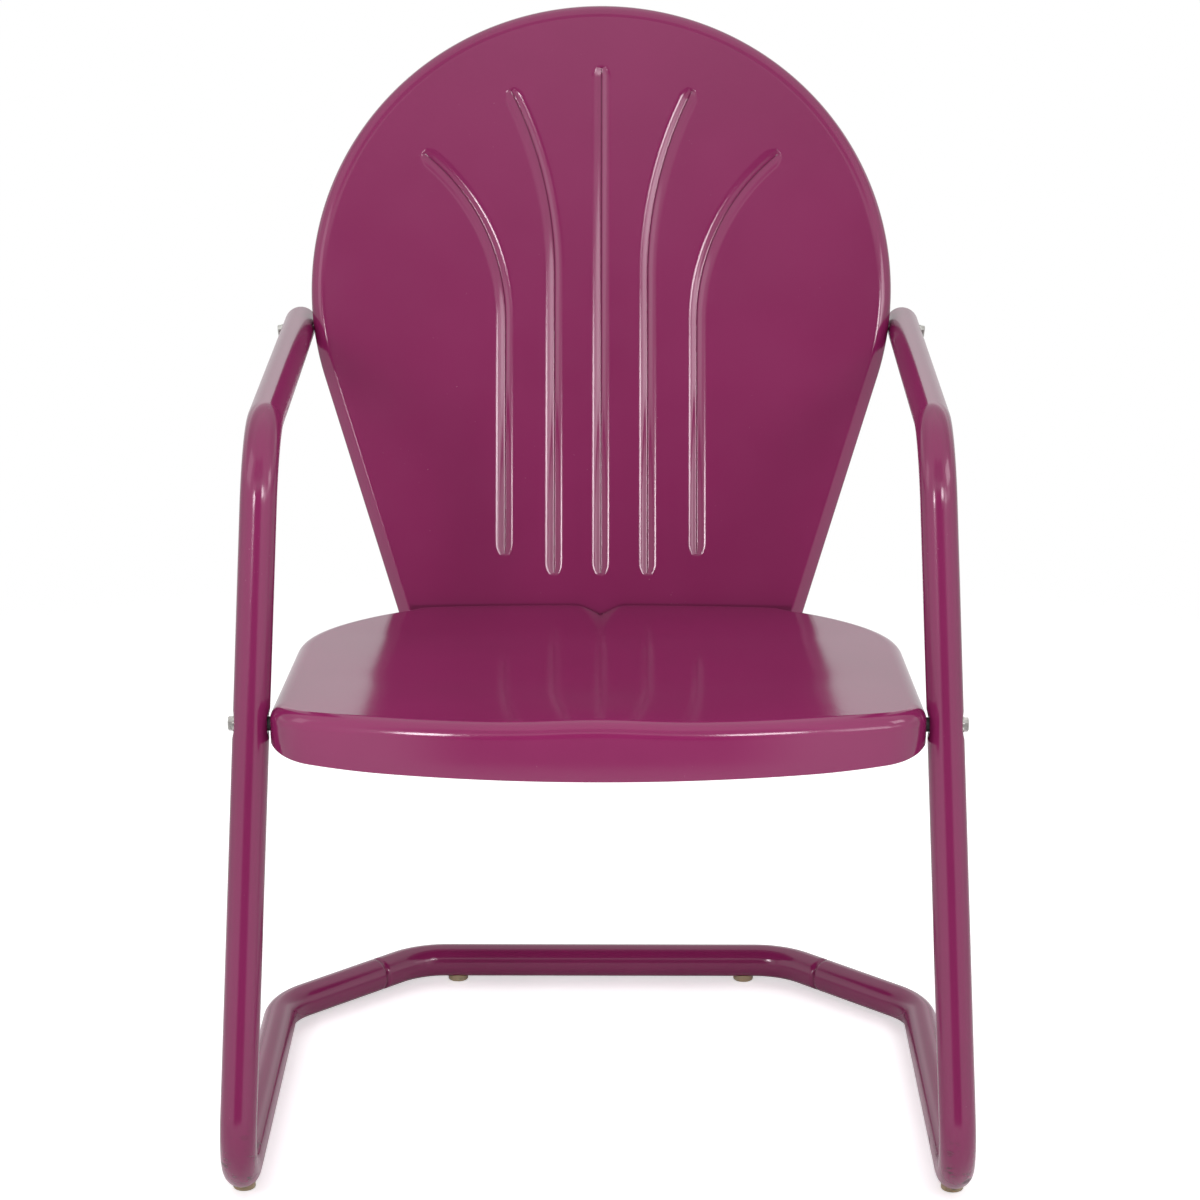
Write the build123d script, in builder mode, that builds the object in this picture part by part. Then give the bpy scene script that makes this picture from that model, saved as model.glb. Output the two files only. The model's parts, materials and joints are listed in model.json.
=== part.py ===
import os
from math import asin, atan2, cos, hypot, radians, sin, sqrt, tan

from build123d import *

os.makedirs("parts", exist_ok=True)

# Millimetres, Z up, the chair faces -Y and stands on Z = 0

# Stock and fits
tube_od = 28.0
tube_wall = 1.2
sheet = 1.2
fit_gap = 0.3  # between curved faces of two pieces
bolt_play = 0.3  # all round a bolt in its hole

# Seat pan
seat_half_width = 246.2
seat_front_y = -340.6
seat_front_height = 395.5
seat_front_radius = 676.0
seat_corner_radius = 46.0
seat_side_end_y = -33.6  # where the straight side starts to round in to the back
seat_rear_radius = 200.0
seat_edge_round = 11.0
apron_depth = 43.5
skirt_depth = 30.0
apron_step_start = 30.0  # behind the front edge
apron_step_end = 76.0
apron_step_round = 60.0
pommel_rise = 4.5
pommel_half_width = 48.0
thigh_half_spacing = 120.0
thigh_dip = 2.0
pommel_shoulder = 3.8
pommel_foot = 1.4
pommel_length = 115.0
seat_dish = 4.5
seat_dish_side = 3.2
dish_length = 145.0  # from where the pommel has faded out to the deepest part
drain_depth = 8.0
drain_half_depth = 2.0
drain_half_width = 21.0
drain_length = 150.0

# Back shell, drawn in its own leaning plane from the foot up
back_foot_y = 144.5
back_foot_height = 347.8
back_lean = 18.0
back_curve_radius = 1345.0
back_top_radius = 249.3
back_top_centre = 271.0
back_foot_half_width = 174.2
back_tab_depth = 34.0
back_rim_depth = 38.0
back_edge_round = 12.0

# Pressed ribs of the back shell
rib_half_width = 7.5
rib_depth = 3.2
rib_root_half_width = 0.7
rib_inner_spacing = 40.2
rib_outer_spacing = 82.6
rib_low = 34.5  # centre of the lower round end, middle three ribs
rib_outer_low = 51.3
rib_centre_high = 457.2
rib_inner_bend_start = 285.0
rib_inner_bend_radius = 352.0
rib_inner_bend_angle = 25.6
rib_outer_bend_start = 245.6
rib_outer_bend_radius = 181.0
rib_outer_bend_angle = 49.6

# Side frames
leg_slant = 12.58  # back from the foot to the arm
leg_splay = 2.15  # out from the arm to the foot
arm_corner_height = 583.0
arm_bend_radius = 65.0
arm_tail = 31.0  # from the arm bolt to the centre of the domed end
foot_bend_radius = 50.0
runner_half_width = 272.5
runner_rear_y = 38.0
runner_bend_radius = 60.0

# Rear crossbar
crossbar_half_width = 161.0
crossbar_y = 149.0
crossbar_bend_radius = 60.0
seam_from_corner = 109.0
neck_length = 28.0
shoulder_length = 3.0
seam_chamfer = 0.5

# Glides
glide_height = 3.6
glide_od = 17.5
glide_edge_round = 1.4
glide_front_y = -279.3
glide_rear_half_spacing = 126.5
stem_od = 6.0
stem_reach = 5.0  # past the inside of the tube wall

# Bolted joints
bolt_od = 6.0
bolt_head_width = 10.0
bolt_head_height = 3.6
bolt_end_reach = 2.5  # past the nut
head_chamfer = 0.7
washer_od = 12.0
washer_thickness = 1.2
nut_width = 10.0
nut_height = 5.0
spacer_od = 11.0
spacer_thickness = 2.3
dimple_flat_od = 15.0
dimple_slope = 65.0  # degrees from the bolt's axis
leg_dimple_depth = 1.5
arm_dimple_depth = 1.0
seat_bolt_y = -257.9
seat_bolt_height = 370.4
arm_bolt_rise = 239.4  # along the back shell
arm_bolt_setback = 27.2  # behind the back shell's front face
back_bolt_spacing = 110.0
back_bolt_drop = 17.0  # below the back shell's foot

cut_over = 60.0  # how far a cutting shape reaches past the piece it cuts

tube_r = tube_od / 2
bore_r = tube_r - tube_wall
hole_r = bolt_od / 2 + bolt_play
floor_line = glide_height + tube_r

# The back shell's plane: x across, y up the panel, z out of its front
lean_sin = sin(radians(back_lean))
lean_cos = cos(radians(back_lean))
back_plane = Plane((0, back_foot_y, back_foot_height), (1, 0, 0), (0, -lean_cos, lean_sin))
back_low = back_tab_depth + cut_over
back_height = back_low + back_top_centre + back_top_radius + cut_over
section_origin = back_plane.from_local_coords((0, -back_low, 0))
section_plane = Plane(section_origin, (1, 0, 0), (0, lean_sin, lean_cos))


def panel_front(u):
    return back_curve_radius - sqrt(back_curve_radius**2 - u**2)


def seat_top(y):
    fall = (seat_front_height - back_foot_height) / (back_foot_y - seat_front_y)
    return seat_front_height - fall * (y - seat_front_y)


# Where the bolts cross the tubes
leg_x = seat_half_width + spacer_thickness + tube_r - leg_dimple_depth
leg_point = Vector(leg_x, seat_bolt_y, seat_bolt_height)
leg_rise = Vector(-tan(radians(leg_splay)), tan(radians(leg_slant)), 1)
arm_bolt_tilt = asin((back_top_centre - arm_bolt_rise) / back_top_radius)
arm_bolt_u = back_top_radius * cos(arm_bolt_tilt)
rim_local = (arm_bolt_u, arm_bolt_rise, panel_front(arm_bolt_u) - arm_bolt_setback)
rim_point = Vector(back_plane.from_local_coords(rim_local))
bolt_sin = sin(arm_bolt_tilt)
arm_axis = Vector(cos(arm_bolt_tilt), -bolt_sin * lean_sin, -bolt_sin * lean_cos)
arm_point = rim_point + arm_axis * (tube_r + fit_gap)

# Corners of the side frame's path, right side
arm_corner = leg_point + leg_rise * (arm_corner_height - seat_bolt_height)
foot_corner = leg_point + leg_rise * (floor_line - seat_bolt_height)
arm_end = arm_point + (arm_point - arm_corner).normalized() * arm_tail
runner_corner = Vector(runner_half_width, runner_rear_y, floor_line)
crossbar_corner = Vector(crossbar_half_width, crossbar_y, floor_line)
seam_way = (crossbar_corner - runner_corner).normalized()
seam_point = runner_corner + seam_way * seam_from_corner
neck_point = seam_point - seam_way * neck_length

frame_corners = [arm_end, arm_corner, foot_corner, runner_corner, seam_point]
frame_bends = [arm_bend_radius, foot_bend_radius, runner_bend_radius]


def flipped(point):
    return Vector(-point.X, point.Y, point.Z)


def rod(corners, bends, radius):
    with BuildPart() as swept:
        with BuildLine() as path:
            FilletPolyline(*corners, radius=bends)
        with BuildSketch(Plane(path.line @ 0, z_dir=path.line % 0)):
            Circle(radius)
        sweep()
    return swept.part


def crossbar_rod(end, radius):
    corners = [flipped(end), flipped(crossbar_corner), crossbar_corner, end]
    return rod(corners, crossbar_bend_radius, radius)


def dimple(point, axis, flat_distance, grow):
    slope = tan(radians(dimple_slope))
    flat_r = dimple_flat_od / 2 + grow
    with BuildPart() as cutter:
        with BuildSketch(Plane(point + axis * flat_distance, z_dir=axis)):
            Circle(flat_r)
        with BuildSketch(Plane(point + axis * (flat_distance + tube_r / 2), z_dir=axis)):
            Circle(flat_r + slope * tube_r / 2)
        loft(ruled=True)
    return cutter.part


def peg(point, axis, radius, low, high):
    with BuildPart() as pin:
        with BuildSketch(Plane(point + axis * low, z_dir=axis)):
            Circle(radius)
        extrude(amount=high - low)
    return pin.part


def hex_bolt(plane, grip):
    with BuildPart() as bolt:
        with BuildSketch(plane):
            RegularPolygon(bolt_head_width / 2, 6, major_radius=False)
        extrude(amount=bolt_head_height)
        chamfer(bolt.faces().sort_by(Axis(plane.origin, plane.z_dir))[-1].edges(), head_chamfer)
        with BuildSketch(plane):
            Circle(bolt_od / 2)
        extrude(amount=-grip - nut_height - bolt_end_reach)
        chamfer(bolt.faces().sort_by(Axis(plane.origin, plane.z_dir))[0].edges(), head_chamfer)
    return bolt.part


def ring(plane, outer_d, inner_r, thickness):
    with BuildPart() as washer:
        with BuildSketch(plane):
            Circle(outer_d / 2)
            Circle(inner_r, mode=Mode.SUBTRACT)
        extrude(amount=thickness)
    return washer.part


def hex_nut(plane):
    with BuildPart() as nut:
        with BuildSketch(plane):
            RegularPolygon(nut_width / 2, 6, major_radius=False)
            Circle(hole_r, mode=Mode.SUBTRACT)
        extrude(amount=-nut_height)
        outer_edges = nut.faces().sort_by(Axis(plane.origin, plane.z_dir))[0].outer_wire().edges()
        chamfer(outer_edges, head_chamfer)
    return nut.part


# Bolts that hold the back shell's tab to the seat's rear flange, each square to the curved panel
back_bolt_turns = [asin(step * back_bolt_spacing / back_curve_radius) for step in (-1, 0, 1)]


def back_bolt_plane(turn, radius):
    local = (radius * sin(turn), -back_bolt_drop, back_curve_radius - radius * cos(turn))
    axis = (sin(turn), cos(turn) * lean_cos, -cos(turn) * lean_sin)
    return Plane(back_plane.from_local_coords(local), z_dir=axis)


def back_bolt_holes():
    with BuildPart() as holes:
        for turn in back_bolt_turns:
            with BuildSketch(back_bolt_plane(turn, back_curve_radius)):
                Circle(hole_r)
            extrude(amount=back_rim_depth / 2, both=True)
    return holes.part


# Seat pan
def seat_section(y, rises, drop):
    reach = seat_half_width + cut_over
    ceiling = seat_front_height + cut_over
    stations = [0, drain_half_width, pommel_half_width, thigh_half_spacing, reach]
    right = [(x, seat_top(y) - drop + rise) for x, rise in zip(stations, rises)]
    left = [(-x, z) for x, z in right[:0:-1]]
    with BuildSketch(Plane((0, y, 0), (1, 0, 0), (0, -1, 0))) as section:
        with BuildLine():
            Spline(*left, *right)
            Polyline(right[-1], (reach, ceiling), (-reach, ceiling), left[0])
        make_face()
    return section.sketch


def air_above_seat(drop):
    fade_y = seat_front_y + pommel_length
    pommel = [pommel_rise, pommel_shoulder, pommel_foot, -thigh_dip, 0]
    fade = [-thigh_dip / 2, -thigh_dip / 2, -thigh_dip, -thigh_dip, 0]
    dish = [-seat_dish, -seat_dish, -seat_dish, -seat_dish_side, 0]
    drain = [-drain_depth, -drain_half_depth, 0, 0, 0]
    with BuildPart() as air:
        add(seat_section(seat_front_y - cut_over / 2, pommel, drop))
        add(seat_section(fade_y, fade, drop))
        add(seat_section(fade_y + dish_length, dish, drop))
        add(seat_section(back_foot_y - drain_length, dish, drop))
        add(seat_section(seat_side_end_y + seat_rear_radius + cut_over / 2, drain, drop))
        loft()
    return air.part


def seat_form(inset):
    half = seat_half_width - inset
    corner_r = seat_corner_radius - inset
    front_r = seat_front_radius - inset
    rear_r = seat_rear_radius - inset
    front_centre = seat_front_y + seat_front_radius
    corner_x = half - corner_r
    corner_y = front_centre - sqrt((front_r - corner_r) ** 2 - corner_x**2)
    toward = atan2(corner_x, front_centre - corner_y)
    joint = (front_r * sin(toward), front_centre - front_r * cos(toward))
    halfway = (front_r * sin(toward / 2), front_centre - front_r * cos(toward / 2))
    turn = corner_r * sqrt(0.5)
    rear_x = half - rear_r
    rear_turn = rear_r * sqrt(0.5)
    rear_y = seat_side_end_y + rear_r
    with BuildPart() as form:
        with BuildSketch():
            with BuildLine():
                ThreePointArc((0, front_centre - front_r), halfway, joint)
                ThreePointArc(joint, (corner_x + turn, corner_y - turn), (half, corner_y))
                Line((half, corner_y), (half, seat_side_end_y))
                rear_middle = (rear_x + rear_turn, seat_side_end_y + rear_turn)
                ThreePointArc((half, seat_side_end_y), rear_middle, (rear_x, rear_y))
                Line((rear_x, rear_y), (0, rear_y))
                mirror(about=Plane.YZ)
            make_face()
        extrude(amount=seat_front_height + cut_over / 2)
        add(air_above_seat(inset), mode=Mode.SUBTRACT)
        crown = form.faces().filter_by(GeomType.BSPLINE).sort_by(Axis.Z)[-1]
        fillet(crown.edges(), seat_edge_round - inset)
        # The rear follows the back shell's front face
        with BuildSketch(section_plane):
            with Locations((0, -back_curve_radius)):
                Circle(back_curve_radius - fit_gap - inset)
        extrude(amount=back_height, both=True, mode=Mode.INTERSECT)
    return form.part


with BuildPart() as seat_pan:
    add(seat_form(0))
    add(seat_form(sheet), mode=Mode.SUBTRACT)
    # Lower edge, stepped up from the deep front apron to the skirt
    with BuildSketch(Plane.YZ):
        with BuildLine():
            front_end = (seat_front_y - cut_over, seat_front_height - apron_depth)
            step_low = (seat_front_y + apron_step_start, seat_front_height - apron_depth)
            step_y = seat_front_y + apron_step_end
            step_high = (step_y, seat_top(step_y) - skirt_depth)
            rear_y = back_foot_y + cut_over
            rear_end = (rear_y, seat_top(rear_y) - skirt_depth)
            FilletPolyline(front_end, step_low, step_high, rear_end, radius=apron_step_round)
            Polyline(rear_end, (rear_y, 0), (front_end[0], 0), front_end)
        make_face()
    extrude(amount=seat_half_width + cut_over, both=True, mode=Mode.SUBTRACT)
    with BuildSketch(Plane.YZ):
        with Locations((seat_bolt_y, seat_bolt_height)):
            Circle(hole_r)
    extrude(amount=seat_half_width + cut_over, both=True, mode=Mode.SUBTRACT)
    add(back_bolt_holes(), mode=Mode.SUBTRACT)


# Back shell
def rib_profile(plane, inset, half_only):
    flank = atan2(rib_depth, rib_half_width - rib_root_half_width)
    root = (rib_root_half_width + inset * tan(flank / 2), rib_depth + inset)
    top = (root[0] + (root[1] + rib_depth) / tan(flank), -rib_depth)
    across = 0 if half_only else -1
    with BuildSketch(plane) as profile:
        with BuildLine():
            Polyline(top, root, (across * root[0], root[1]), (across * top[0], top[1]), close=True)
        make_face()
    return profile.sketch


def rib_end(plane, inset, turn):
    with BuildPart() as end:
        revolve(rib_profile(plane, inset, True), Axis(plane.origin, plane.y_dir * turn), 180)
    return end.part


# A rib's cutter lies in a plane that touches the curved panel along the rib
def rib_cutter(spacing, low, straight, bend_radius, bend_angle, inset):
    flare = radians(bend_angle)
    end_u = spacing + bend_radius * (1 - cos(flare))
    tilt = atan2(panel_front(end_u) - panel_front(spacing), end_u - spacing) if end_u > spacing else 0
    across = Vector(cos(tilt), -sin(tilt) * lean_cos, sin(tilt) * lean_sin)
    rise = back_plane.y_dir
    start = back_plane.from_local_coords((spacing, low, panel_front(spacing)))
    low_plane = Plane(start, across, rise)
    bend_plane = low_plane.offset(straight)
    centre = bend_plane.origin + across * bend_radius
    end_across = across * cos(flare) - rise * sin(flare)
    end_plane = Plane(centre - end_across * bend_radius, end_across, rise * cos(flare) + across * sin(flare))
    with BuildPart() as cutter:
        extrude(rib_profile(low_plane, inset, False), straight)
        add(rib_end(low_plane, inset, 1))
        if bend_angle:
            revolve(rib_profile(bend_plane, inset, False), Axis(centre, low_plane.y_dir), bend_angle)
        add(rib_end(end_plane, inset, -1))
    return cutter.part


def rib_cutters(inset):
    inner_straight = rib_inner_bend_start - rib_low
    outer_straight = rib_outer_bend_start - rib_outer_low
    centre = rib_cutter(0, rib_low, rib_centre_high - rib_low, 0, 0, inset)
    inner = rib_cutter(
        rib_inner_spacing, rib_low, inner_straight, rib_inner_bend_radius, rib_inner_bend_angle, inset
    )
    outer = rib_cutter(
        rib_outer_spacing, rib_outer_low, outer_straight, rib_outer_bend_radius, rib_outer_bend_angle, inset
    )
    left = [mirror(rib, about=Plane.YZ, mode=Mode.PRIVATE) for rib in (inner, outer)]
    return [centre, inner, outer, *left]


def back_form(inset, depth, low):
    out_axis = Axis(back_plane.origin, back_plane.z_dir)
    up_axis = Axis(back_plane.origin, back_plane.y_dir)
    radius = back_top_radius - inset
    reach = hypot(back_foot_half_width, back_top_centre)
    side_way = atan2(back_top_centre, -back_foot_half_width) - asin(back_top_radius / reach)
    touch = (radius * sin(side_way), back_top_centre - radius * cos(side_way))
    foot = (touch[0] - (touch[1] + low) / tan(side_way), -low)
    cutters = rib_cutters(inset)
    with BuildPart() as form:
        with BuildSketch(section_plane):
            with Locations((0, -back_curve_radius)):
                Circle(back_curve_radius + depth)
                Circle(back_curve_radius + inset, mode=Mode.SUBTRACT)
            Rectangle(4 * back_top_radius, 4 * back_top_radius, mode=Mode.INTERSECT)
        extrude(amount=back_height)
        with BuildSketch(back_plane):
            with BuildLine():
                Polyline((-touch[0], touch[1]), (-foot[0], foot[1]), foot, touch)
                ThreePointArc(touch, (0, back_top_centre + radius), (-touch[0], touch[1]))
            make_face()
        extrude(amount=back_height / 2, both=True, mode=Mode.INTERSECT)
        front = form.faces().filter_by(GeomType.CYLINDER).sort_by(out_axis)[-1]
        fillet(front.edges().sort_by(up_axis)[1:], back_edge_round - inset)
        add(cutters, mode=Mode.SUBTRACT)
    return form.part


with BuildPart() as back_shell:
    add(back_form(0, back_rim_depth, back_tab_depth))
    add(back_form(sheet, 2 * back_rim_depth, back_low), mode=Mode.SUBTRACT)
    add(back_bolt_holes(), mode=Mode.SUBTRACT)
    for side in (arm_axis, flipped(arm_axis)):
        rim_side = rim_point if side.X > 0 else flipped(rim_point)
        add(peg(rim_side, side, hole_r, -tube_r, tube_r), mode=Mode.SUBTRACT)

# Side frames
bolt_side = Vector(1, 0, 0)
up = Vector(0, 0, 1)
leg_flat = tube_r - leg_dimple_depth
arm_flat = tube_r - arm_dimple_depth
runner_way = (runner_corner - foot_corner).normalized()
front_glide = foot_corner + runner_way * ((glide_front_y - foot_corner.Y) / runner_way.Y)
rear_glide = Vector(glide_rear_half_spacing, crossbar_y, floor_line)

with BuildPart() as frame_bore:
    add(rod(frame_corners, frame_bends, bore_r))
    with Locations(arm_end):
        Sphere(bore_r)
    add(dimple(leg_point, bolt_side, leg_flat - tube_wall, tube_wall / 2), mode=Mode.SUBTRACT)
    add(dimple(leg_point, -bolt_side, leg_flat - tube_wall, tube_wall / 2), mode=Mode.SUBTRACT)
    add(dimple(arm_point, arm_axis, arm_flat - tube_wall, tube_wall / 2), mode=Mode.SUBTRACT)

with BuildPart() as right_side_frame:
    add(rod(frame_corners, frame_bends, tube_r))
    with Locations(arm_end):
        Sphere(tube_r)
    add(dimple(leg_point, bolt_side, leg_flat, 0), mode=Mode.SUBTRACT)
    add(dimple(leg_point, -bolt_side, leg_flat, 0), mode=Mode.SUBTRACT)
    add(dimple(arm_point, arm_axis, arm_flat, 0), mode=Mode.SUBTRACT)
    add(frame_bore.part, mode=Mode.SUBTRACT)
    add(peg(leg_point, bolt_side, hole_r, -tube_od, tube_od), mode=Mode.SUBTRACT)
    add(peg(arm_point, arm_axis, hole_r, -tube_od, tube_od), mode=Mode.SUBTRACT)
    add(peg(front_glide, up, stem_od / 2 + bolt_play, -tube_od, 0), mode=Mode.SUBTRACT)
    seam_edges = right_side_frame.edges().filter_by(GeomType.CIRCLE).sort_by_distance(seam_point)[:2]
    chamfer(seam_edges.sort_by(SortBy.RADIUS)[-1], seam_chamfer)

with BuildPart() as left_side_frame:
    add(mirror(right_side_frame.part, about=Plane.YZ, mode=Mode.PRIVATE))

# Rear crossbar: its necked ends plug into the side frames
neck_r = bore_r - fit_gap
shoulder_point = seam_point + seam_way * shoulder_length
with BuildPart() as rear_crossbar:
    add(crossbar_rod(seam_point, tube_r))
    for end in (seam_point, flipped(seam_point)):
        rims = rear_crossbar.edges().filter_by(GeomType.CIRCLE).sort_by_distance(end)
        chamfer(rims[0], seam_chamfer)
    add(crossbar_rod(neck_point, neck_r))
    add(crossbar_rod(neck_point, neck_r - tube_wall), mode=Mode.SUBTRACT)
    add(crossbar_rod(shoulder_point, bore_r), mode=Mode.SUBTRACT)
    for spot in (rear_glide, flipped(rear_glide)):
        add(peg(spot, up, stem_od / 2 + bolt_play, -tube_od, 0), mode=Mode.SUBTRACT)


# Glides, hollowed on top to sit round the tube
def glide(spot, tube):
    with BuildPart() as foot:
        with BuildSketch(Plane((spot.X, spot.Y, 0))):
            Circle(glide_od / 2)
        extrude(amount=floor_line)
        fillet(foot.faces().sort_by(Axis.Z)[0].edges(), glide_edge_round)
        add(tube, mode=Mode.SUBTRACT)
        stem_top = glide_height + tube_wall + stem_reach
        add(peg(Vector(spot.X, spot.Y, 0), up, stem_od / 2, glide_height / 2, stem_top))
    return foot.part


right_glide = glide(front_glide, rod(frame_corners, frame_bends, tube_r + fit_gap))
back_glide = glide(rear_glide, crossbar_rod(seam_point, tube_r + fit_gap))

# Fasteners of the right side, and the three behind the seat
seat_side = Plane((seat_half_width, seat_bolt_y, seat_bolt_height), z_dir=bolt_side)
seat_head = Plane(leg_point + bolt_side * (leg_flat + washer_thickness), z_dir=bolt_side)
seat_grip = washer_thickness + 2 * leg_flat + spacer_thickness + sheet + fit_gap
arm_head = Plane(arm_point + arm_axis * (arm_flat + washer_thickness), z_dir=arm_axis)
arm_grip = washer_thickness + arm_flat + tube_r + sheet + 2 * fit_gap
back_grip = washer_thickness + 2 * sheet + 3 * fit_gap
back_head_radius = back_curve_radius + sheet + fit_gap + washer_thickness

right_side = {
    "side_frame": right_side_frame.part,
    "arm_bolt": hex_bolt(arm_head, arm_grip),
    "arm_washer": ring(arm_head, washer_od, hole_r, -washer_thickness),
    "arm_nut": hex_nut(arm_head.offset(-arm_grip)),
    "seat_bolt": hex_bolt(seat_head, seat_grip),
    "seat_washer": ring(seat_head, washer_od, hole_r, -washer_thickness),
    "seat_spacer": ring(seat_side, spacer_od, hole_r, spacer_thickness),
    "seat_nut": hex_nut(seat_head.offset(-seat_grip)),
}
pieces = {
    "seat_pan": seat_pan.part,
    "back_shell": back_shell.part,
    "rear_crossbar": rear_crossbar.part,
    "front_right_glide": right_glide,
    "front_left_glide": mirror(right_glide, about=Plane.YZ),
    "rear_right_glide": back_glide,
    "rear_left_glide": mirror(back_glide, about=Plane.YZ),
}
for name, piece in right_side.items():
    pieces["right_" + name] = piece
    pieces["left_" + name] = mirror(piece, about=Plane.YZ)

back_heads = [back_bolt_plane(turn, back_head_radius) for turn in back_bolt_turns]
pieces["back_seat_bolts"] = Compound([hex_bolt(plane, back_grip) for plane in back_heads])
back_washers = [ring(plane, washer_od, hole_r, -washer_thickness) for plane in back_heads]
pieces["back_seat_washers"] = Compound(back_washers)
pieces["back_seat_nuts"] = Compound([hex_nut(plane.offset(-back_grip)) for plane in back_heads])

for name, piece in pieces.items():
    piece.label = name
    export_step(piece, f"parts/{name}.step")
    print(name, round(piece.volume), "mm3 in", len(piece.solids()), "solids, valid:", piece.is_valid)
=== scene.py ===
import json
import math

import bpy
import numpy as np
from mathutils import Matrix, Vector
from mathutils.geometry import delaunay_2d_cdt


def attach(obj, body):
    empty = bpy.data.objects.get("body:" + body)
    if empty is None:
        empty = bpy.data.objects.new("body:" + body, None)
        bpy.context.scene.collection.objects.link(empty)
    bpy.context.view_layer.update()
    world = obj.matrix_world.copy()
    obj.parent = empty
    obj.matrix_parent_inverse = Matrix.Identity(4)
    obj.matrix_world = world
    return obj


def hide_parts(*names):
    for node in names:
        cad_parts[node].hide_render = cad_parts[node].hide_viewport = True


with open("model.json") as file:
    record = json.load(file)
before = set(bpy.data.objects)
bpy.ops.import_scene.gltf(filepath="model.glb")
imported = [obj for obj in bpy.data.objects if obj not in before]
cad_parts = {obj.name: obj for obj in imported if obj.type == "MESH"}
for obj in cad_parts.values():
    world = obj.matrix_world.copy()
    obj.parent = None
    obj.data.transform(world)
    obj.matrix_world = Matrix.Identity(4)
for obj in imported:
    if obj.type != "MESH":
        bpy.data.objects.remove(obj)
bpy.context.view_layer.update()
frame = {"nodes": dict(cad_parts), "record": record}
nodes = frame["nodes"]
scene = bpy.context.scene
mm = 0.001      # lengths are in metres, with the chair facing -Y, as in the CAD
print("frame loaded:", len(nodes), "CAD nodes")


def unit(vectors):
    return vectors / np.linalg.norm(vectors, axis=1, keepdims=True)


def smooth(x):
    x = np.clip(x, 0.0, 1.0)
    return x * x * (3.0 - 2.0 * x)


# Turns a panel down into its wall. edge is the sharp corner between them, and the profile gives each step's
# share of the turn and its length.
def turnedEdge(edge, panelNormal, wallNormal, profile):
    turns, lengths = profile
    between = np.sum(panelNormal * wallNormal, axis=1, keepdims=True)
    angle = np.arccos(np.clip(between, -1.0, 1.0))
    outward = unit(wallNormal - between * panelNormal)
    moves = []
    for turn, length in zip(turns, lengths):
        tilt = turn[:, None] * angle
        moves.append(length[:, None] * (np.cos(tilt) * outward - np.sin(tilt) * panelNormal))
    moved = np.sum(sum(moves) * wallNormal, axis=1, keepdims=True)
    reach = moved / np.sum(outward * wallNormal, axis=1, keepdims=True)
    place = edge - reach * outward
    rows = [(place, panelNormal)]
    for k, move in enumerate(moves):
        place = place + move
        part = 1.0 if k == len(moves) - 1 else (turns[k] + turns[k + 1])[:, None] / 2
        normal = np.cos(part * angle) * panelNormal + np.sin(part * angle) * outward
        rows.append((place, unit(normal)))
    return rows


# An even round, and a tight fold followed by a flat band; share runs from the first (0) to the second (1)
def edgeProfile(share, radius, fold=(0.0, 0.4, 0.0, 0.5, 0.0)):
    foldRadius, foldTurn, band, bandTurn, lastRadius = fold
    share = np.asarray(share, dtype=float)
    radius = np.broadcast_to(radius, share.shape)
    quarter = math.pi / 2
    pieces = [(6, 0.0, foldTurn, foldRadius * foldTurn * quarter), (4, foldTurn, bandTurn, band),
              (6, bandTurn, 1.0, lastRadius * (1.0 - bandTurn) * quarter)]
    total = sum(piece[0] for piece in pieces)
    turns = []
    lengths = []
    for steps, start, end, length in pieces:
        for i in range(steps):
            even = (len(turns) + 0.5) / total
            sharp = start + (end - start) * (i + 0.5) / steps
            turns.append((1.0 - share) * even + share * sharp)
            lengths.append((1.0 - share) * radius * quarter / total + share * length / steps)
    return turns, lengths


# A pressed sheet: a panel triangulated inside its first row, then the rows of the turned edge.
# openEdge lists panel points on a cut edge without turned rows. The far side is moved in by the thickness.
def pressedSheet(name, flat, panelPoints, panelNormals, rows, openEdge, thickness):
    ringCount = len(rows[0][0])
    closed = len(openEdge) == 0
    loop = list(range(ringCount)) + list(openEdge)
    found = delaunay_2d_cdt([Vector((float(a), float(b))) for a, b in flat], [], [loop], 1, 1e-7)
    order = [ids[0] for ids in found[3]]
    faces = [tuple(order[i] for i in face) for face in found[2]]
    points = [panelPoints]
    normals = [panelNormals]
    chains = [list(range(ringCount))]
    for rowPoints, rowNormals in rows[1:]:
        first = sum(len(block) for block in points)
        chains.append(list(range(first, first + ringCount)))
        points.append(rowPoints)
        normals.append(rowNormals)
    last = ringCount if closed else ringCount - 1
    for low, high in zip(chains, chains[1:]):
        for i in range(last):
            j = (i + 1) % ringCount
            faces.append((low[i], high[i], high[j], low[j]))
    points = np.concatenate(points)
    normals = unit(np.concatenate(normals))
    count = len(points)
    cut = []
    edge = chains[-1]
    for i in range(last):
        j = (i + 1) % ringCount
        cut.append((edge[i], count + edge[i], count + edge[j], edge[j]))
    if not closed:
        side = [chain[0] for chain in reversed(chains)] + list(reversed(openEdge))
        side += [chain[-1] for chain in chains]
        for a, b in zip(side, side[1:]):
            cut.append((a, b, count + b, count + a))
    far = [tuple(count + i for i in reversed(face)) for face in faces]
    allPoints = np.concatenate([points, points - normals * thickness])
    allNormals = np.concatenate([normals, -normals])
    mesh = bpy.data.meshes.new(name)
    mesh.from_pydata(allPoints.tolist(), [], faces + far + cut)
    mesh.shade_smooth()
    loopNormals = []
    for face in faces + far:
        loopNormals.extend(allNormals[i].tolist() for i in face)
    for face in cut:
        a, b, c = (allPoints[i] for i in face[:3])
        flatNormal = np.cross(b - a, c - a)
        flatNormal = flatNormal / max(np.linalg.norm(flatNormal), 1e-12)
        loopNormals.extend([flatNormal.tolist()] * 4)
    mesh.normals_split_custom_set(loopNormals)
    piece = bpy.data.objects.new(name, mesh)
    scene.collection.objects.link(piece)
    print(name, "made:", len(mesh.polygons), "faces")
    return piece


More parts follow.
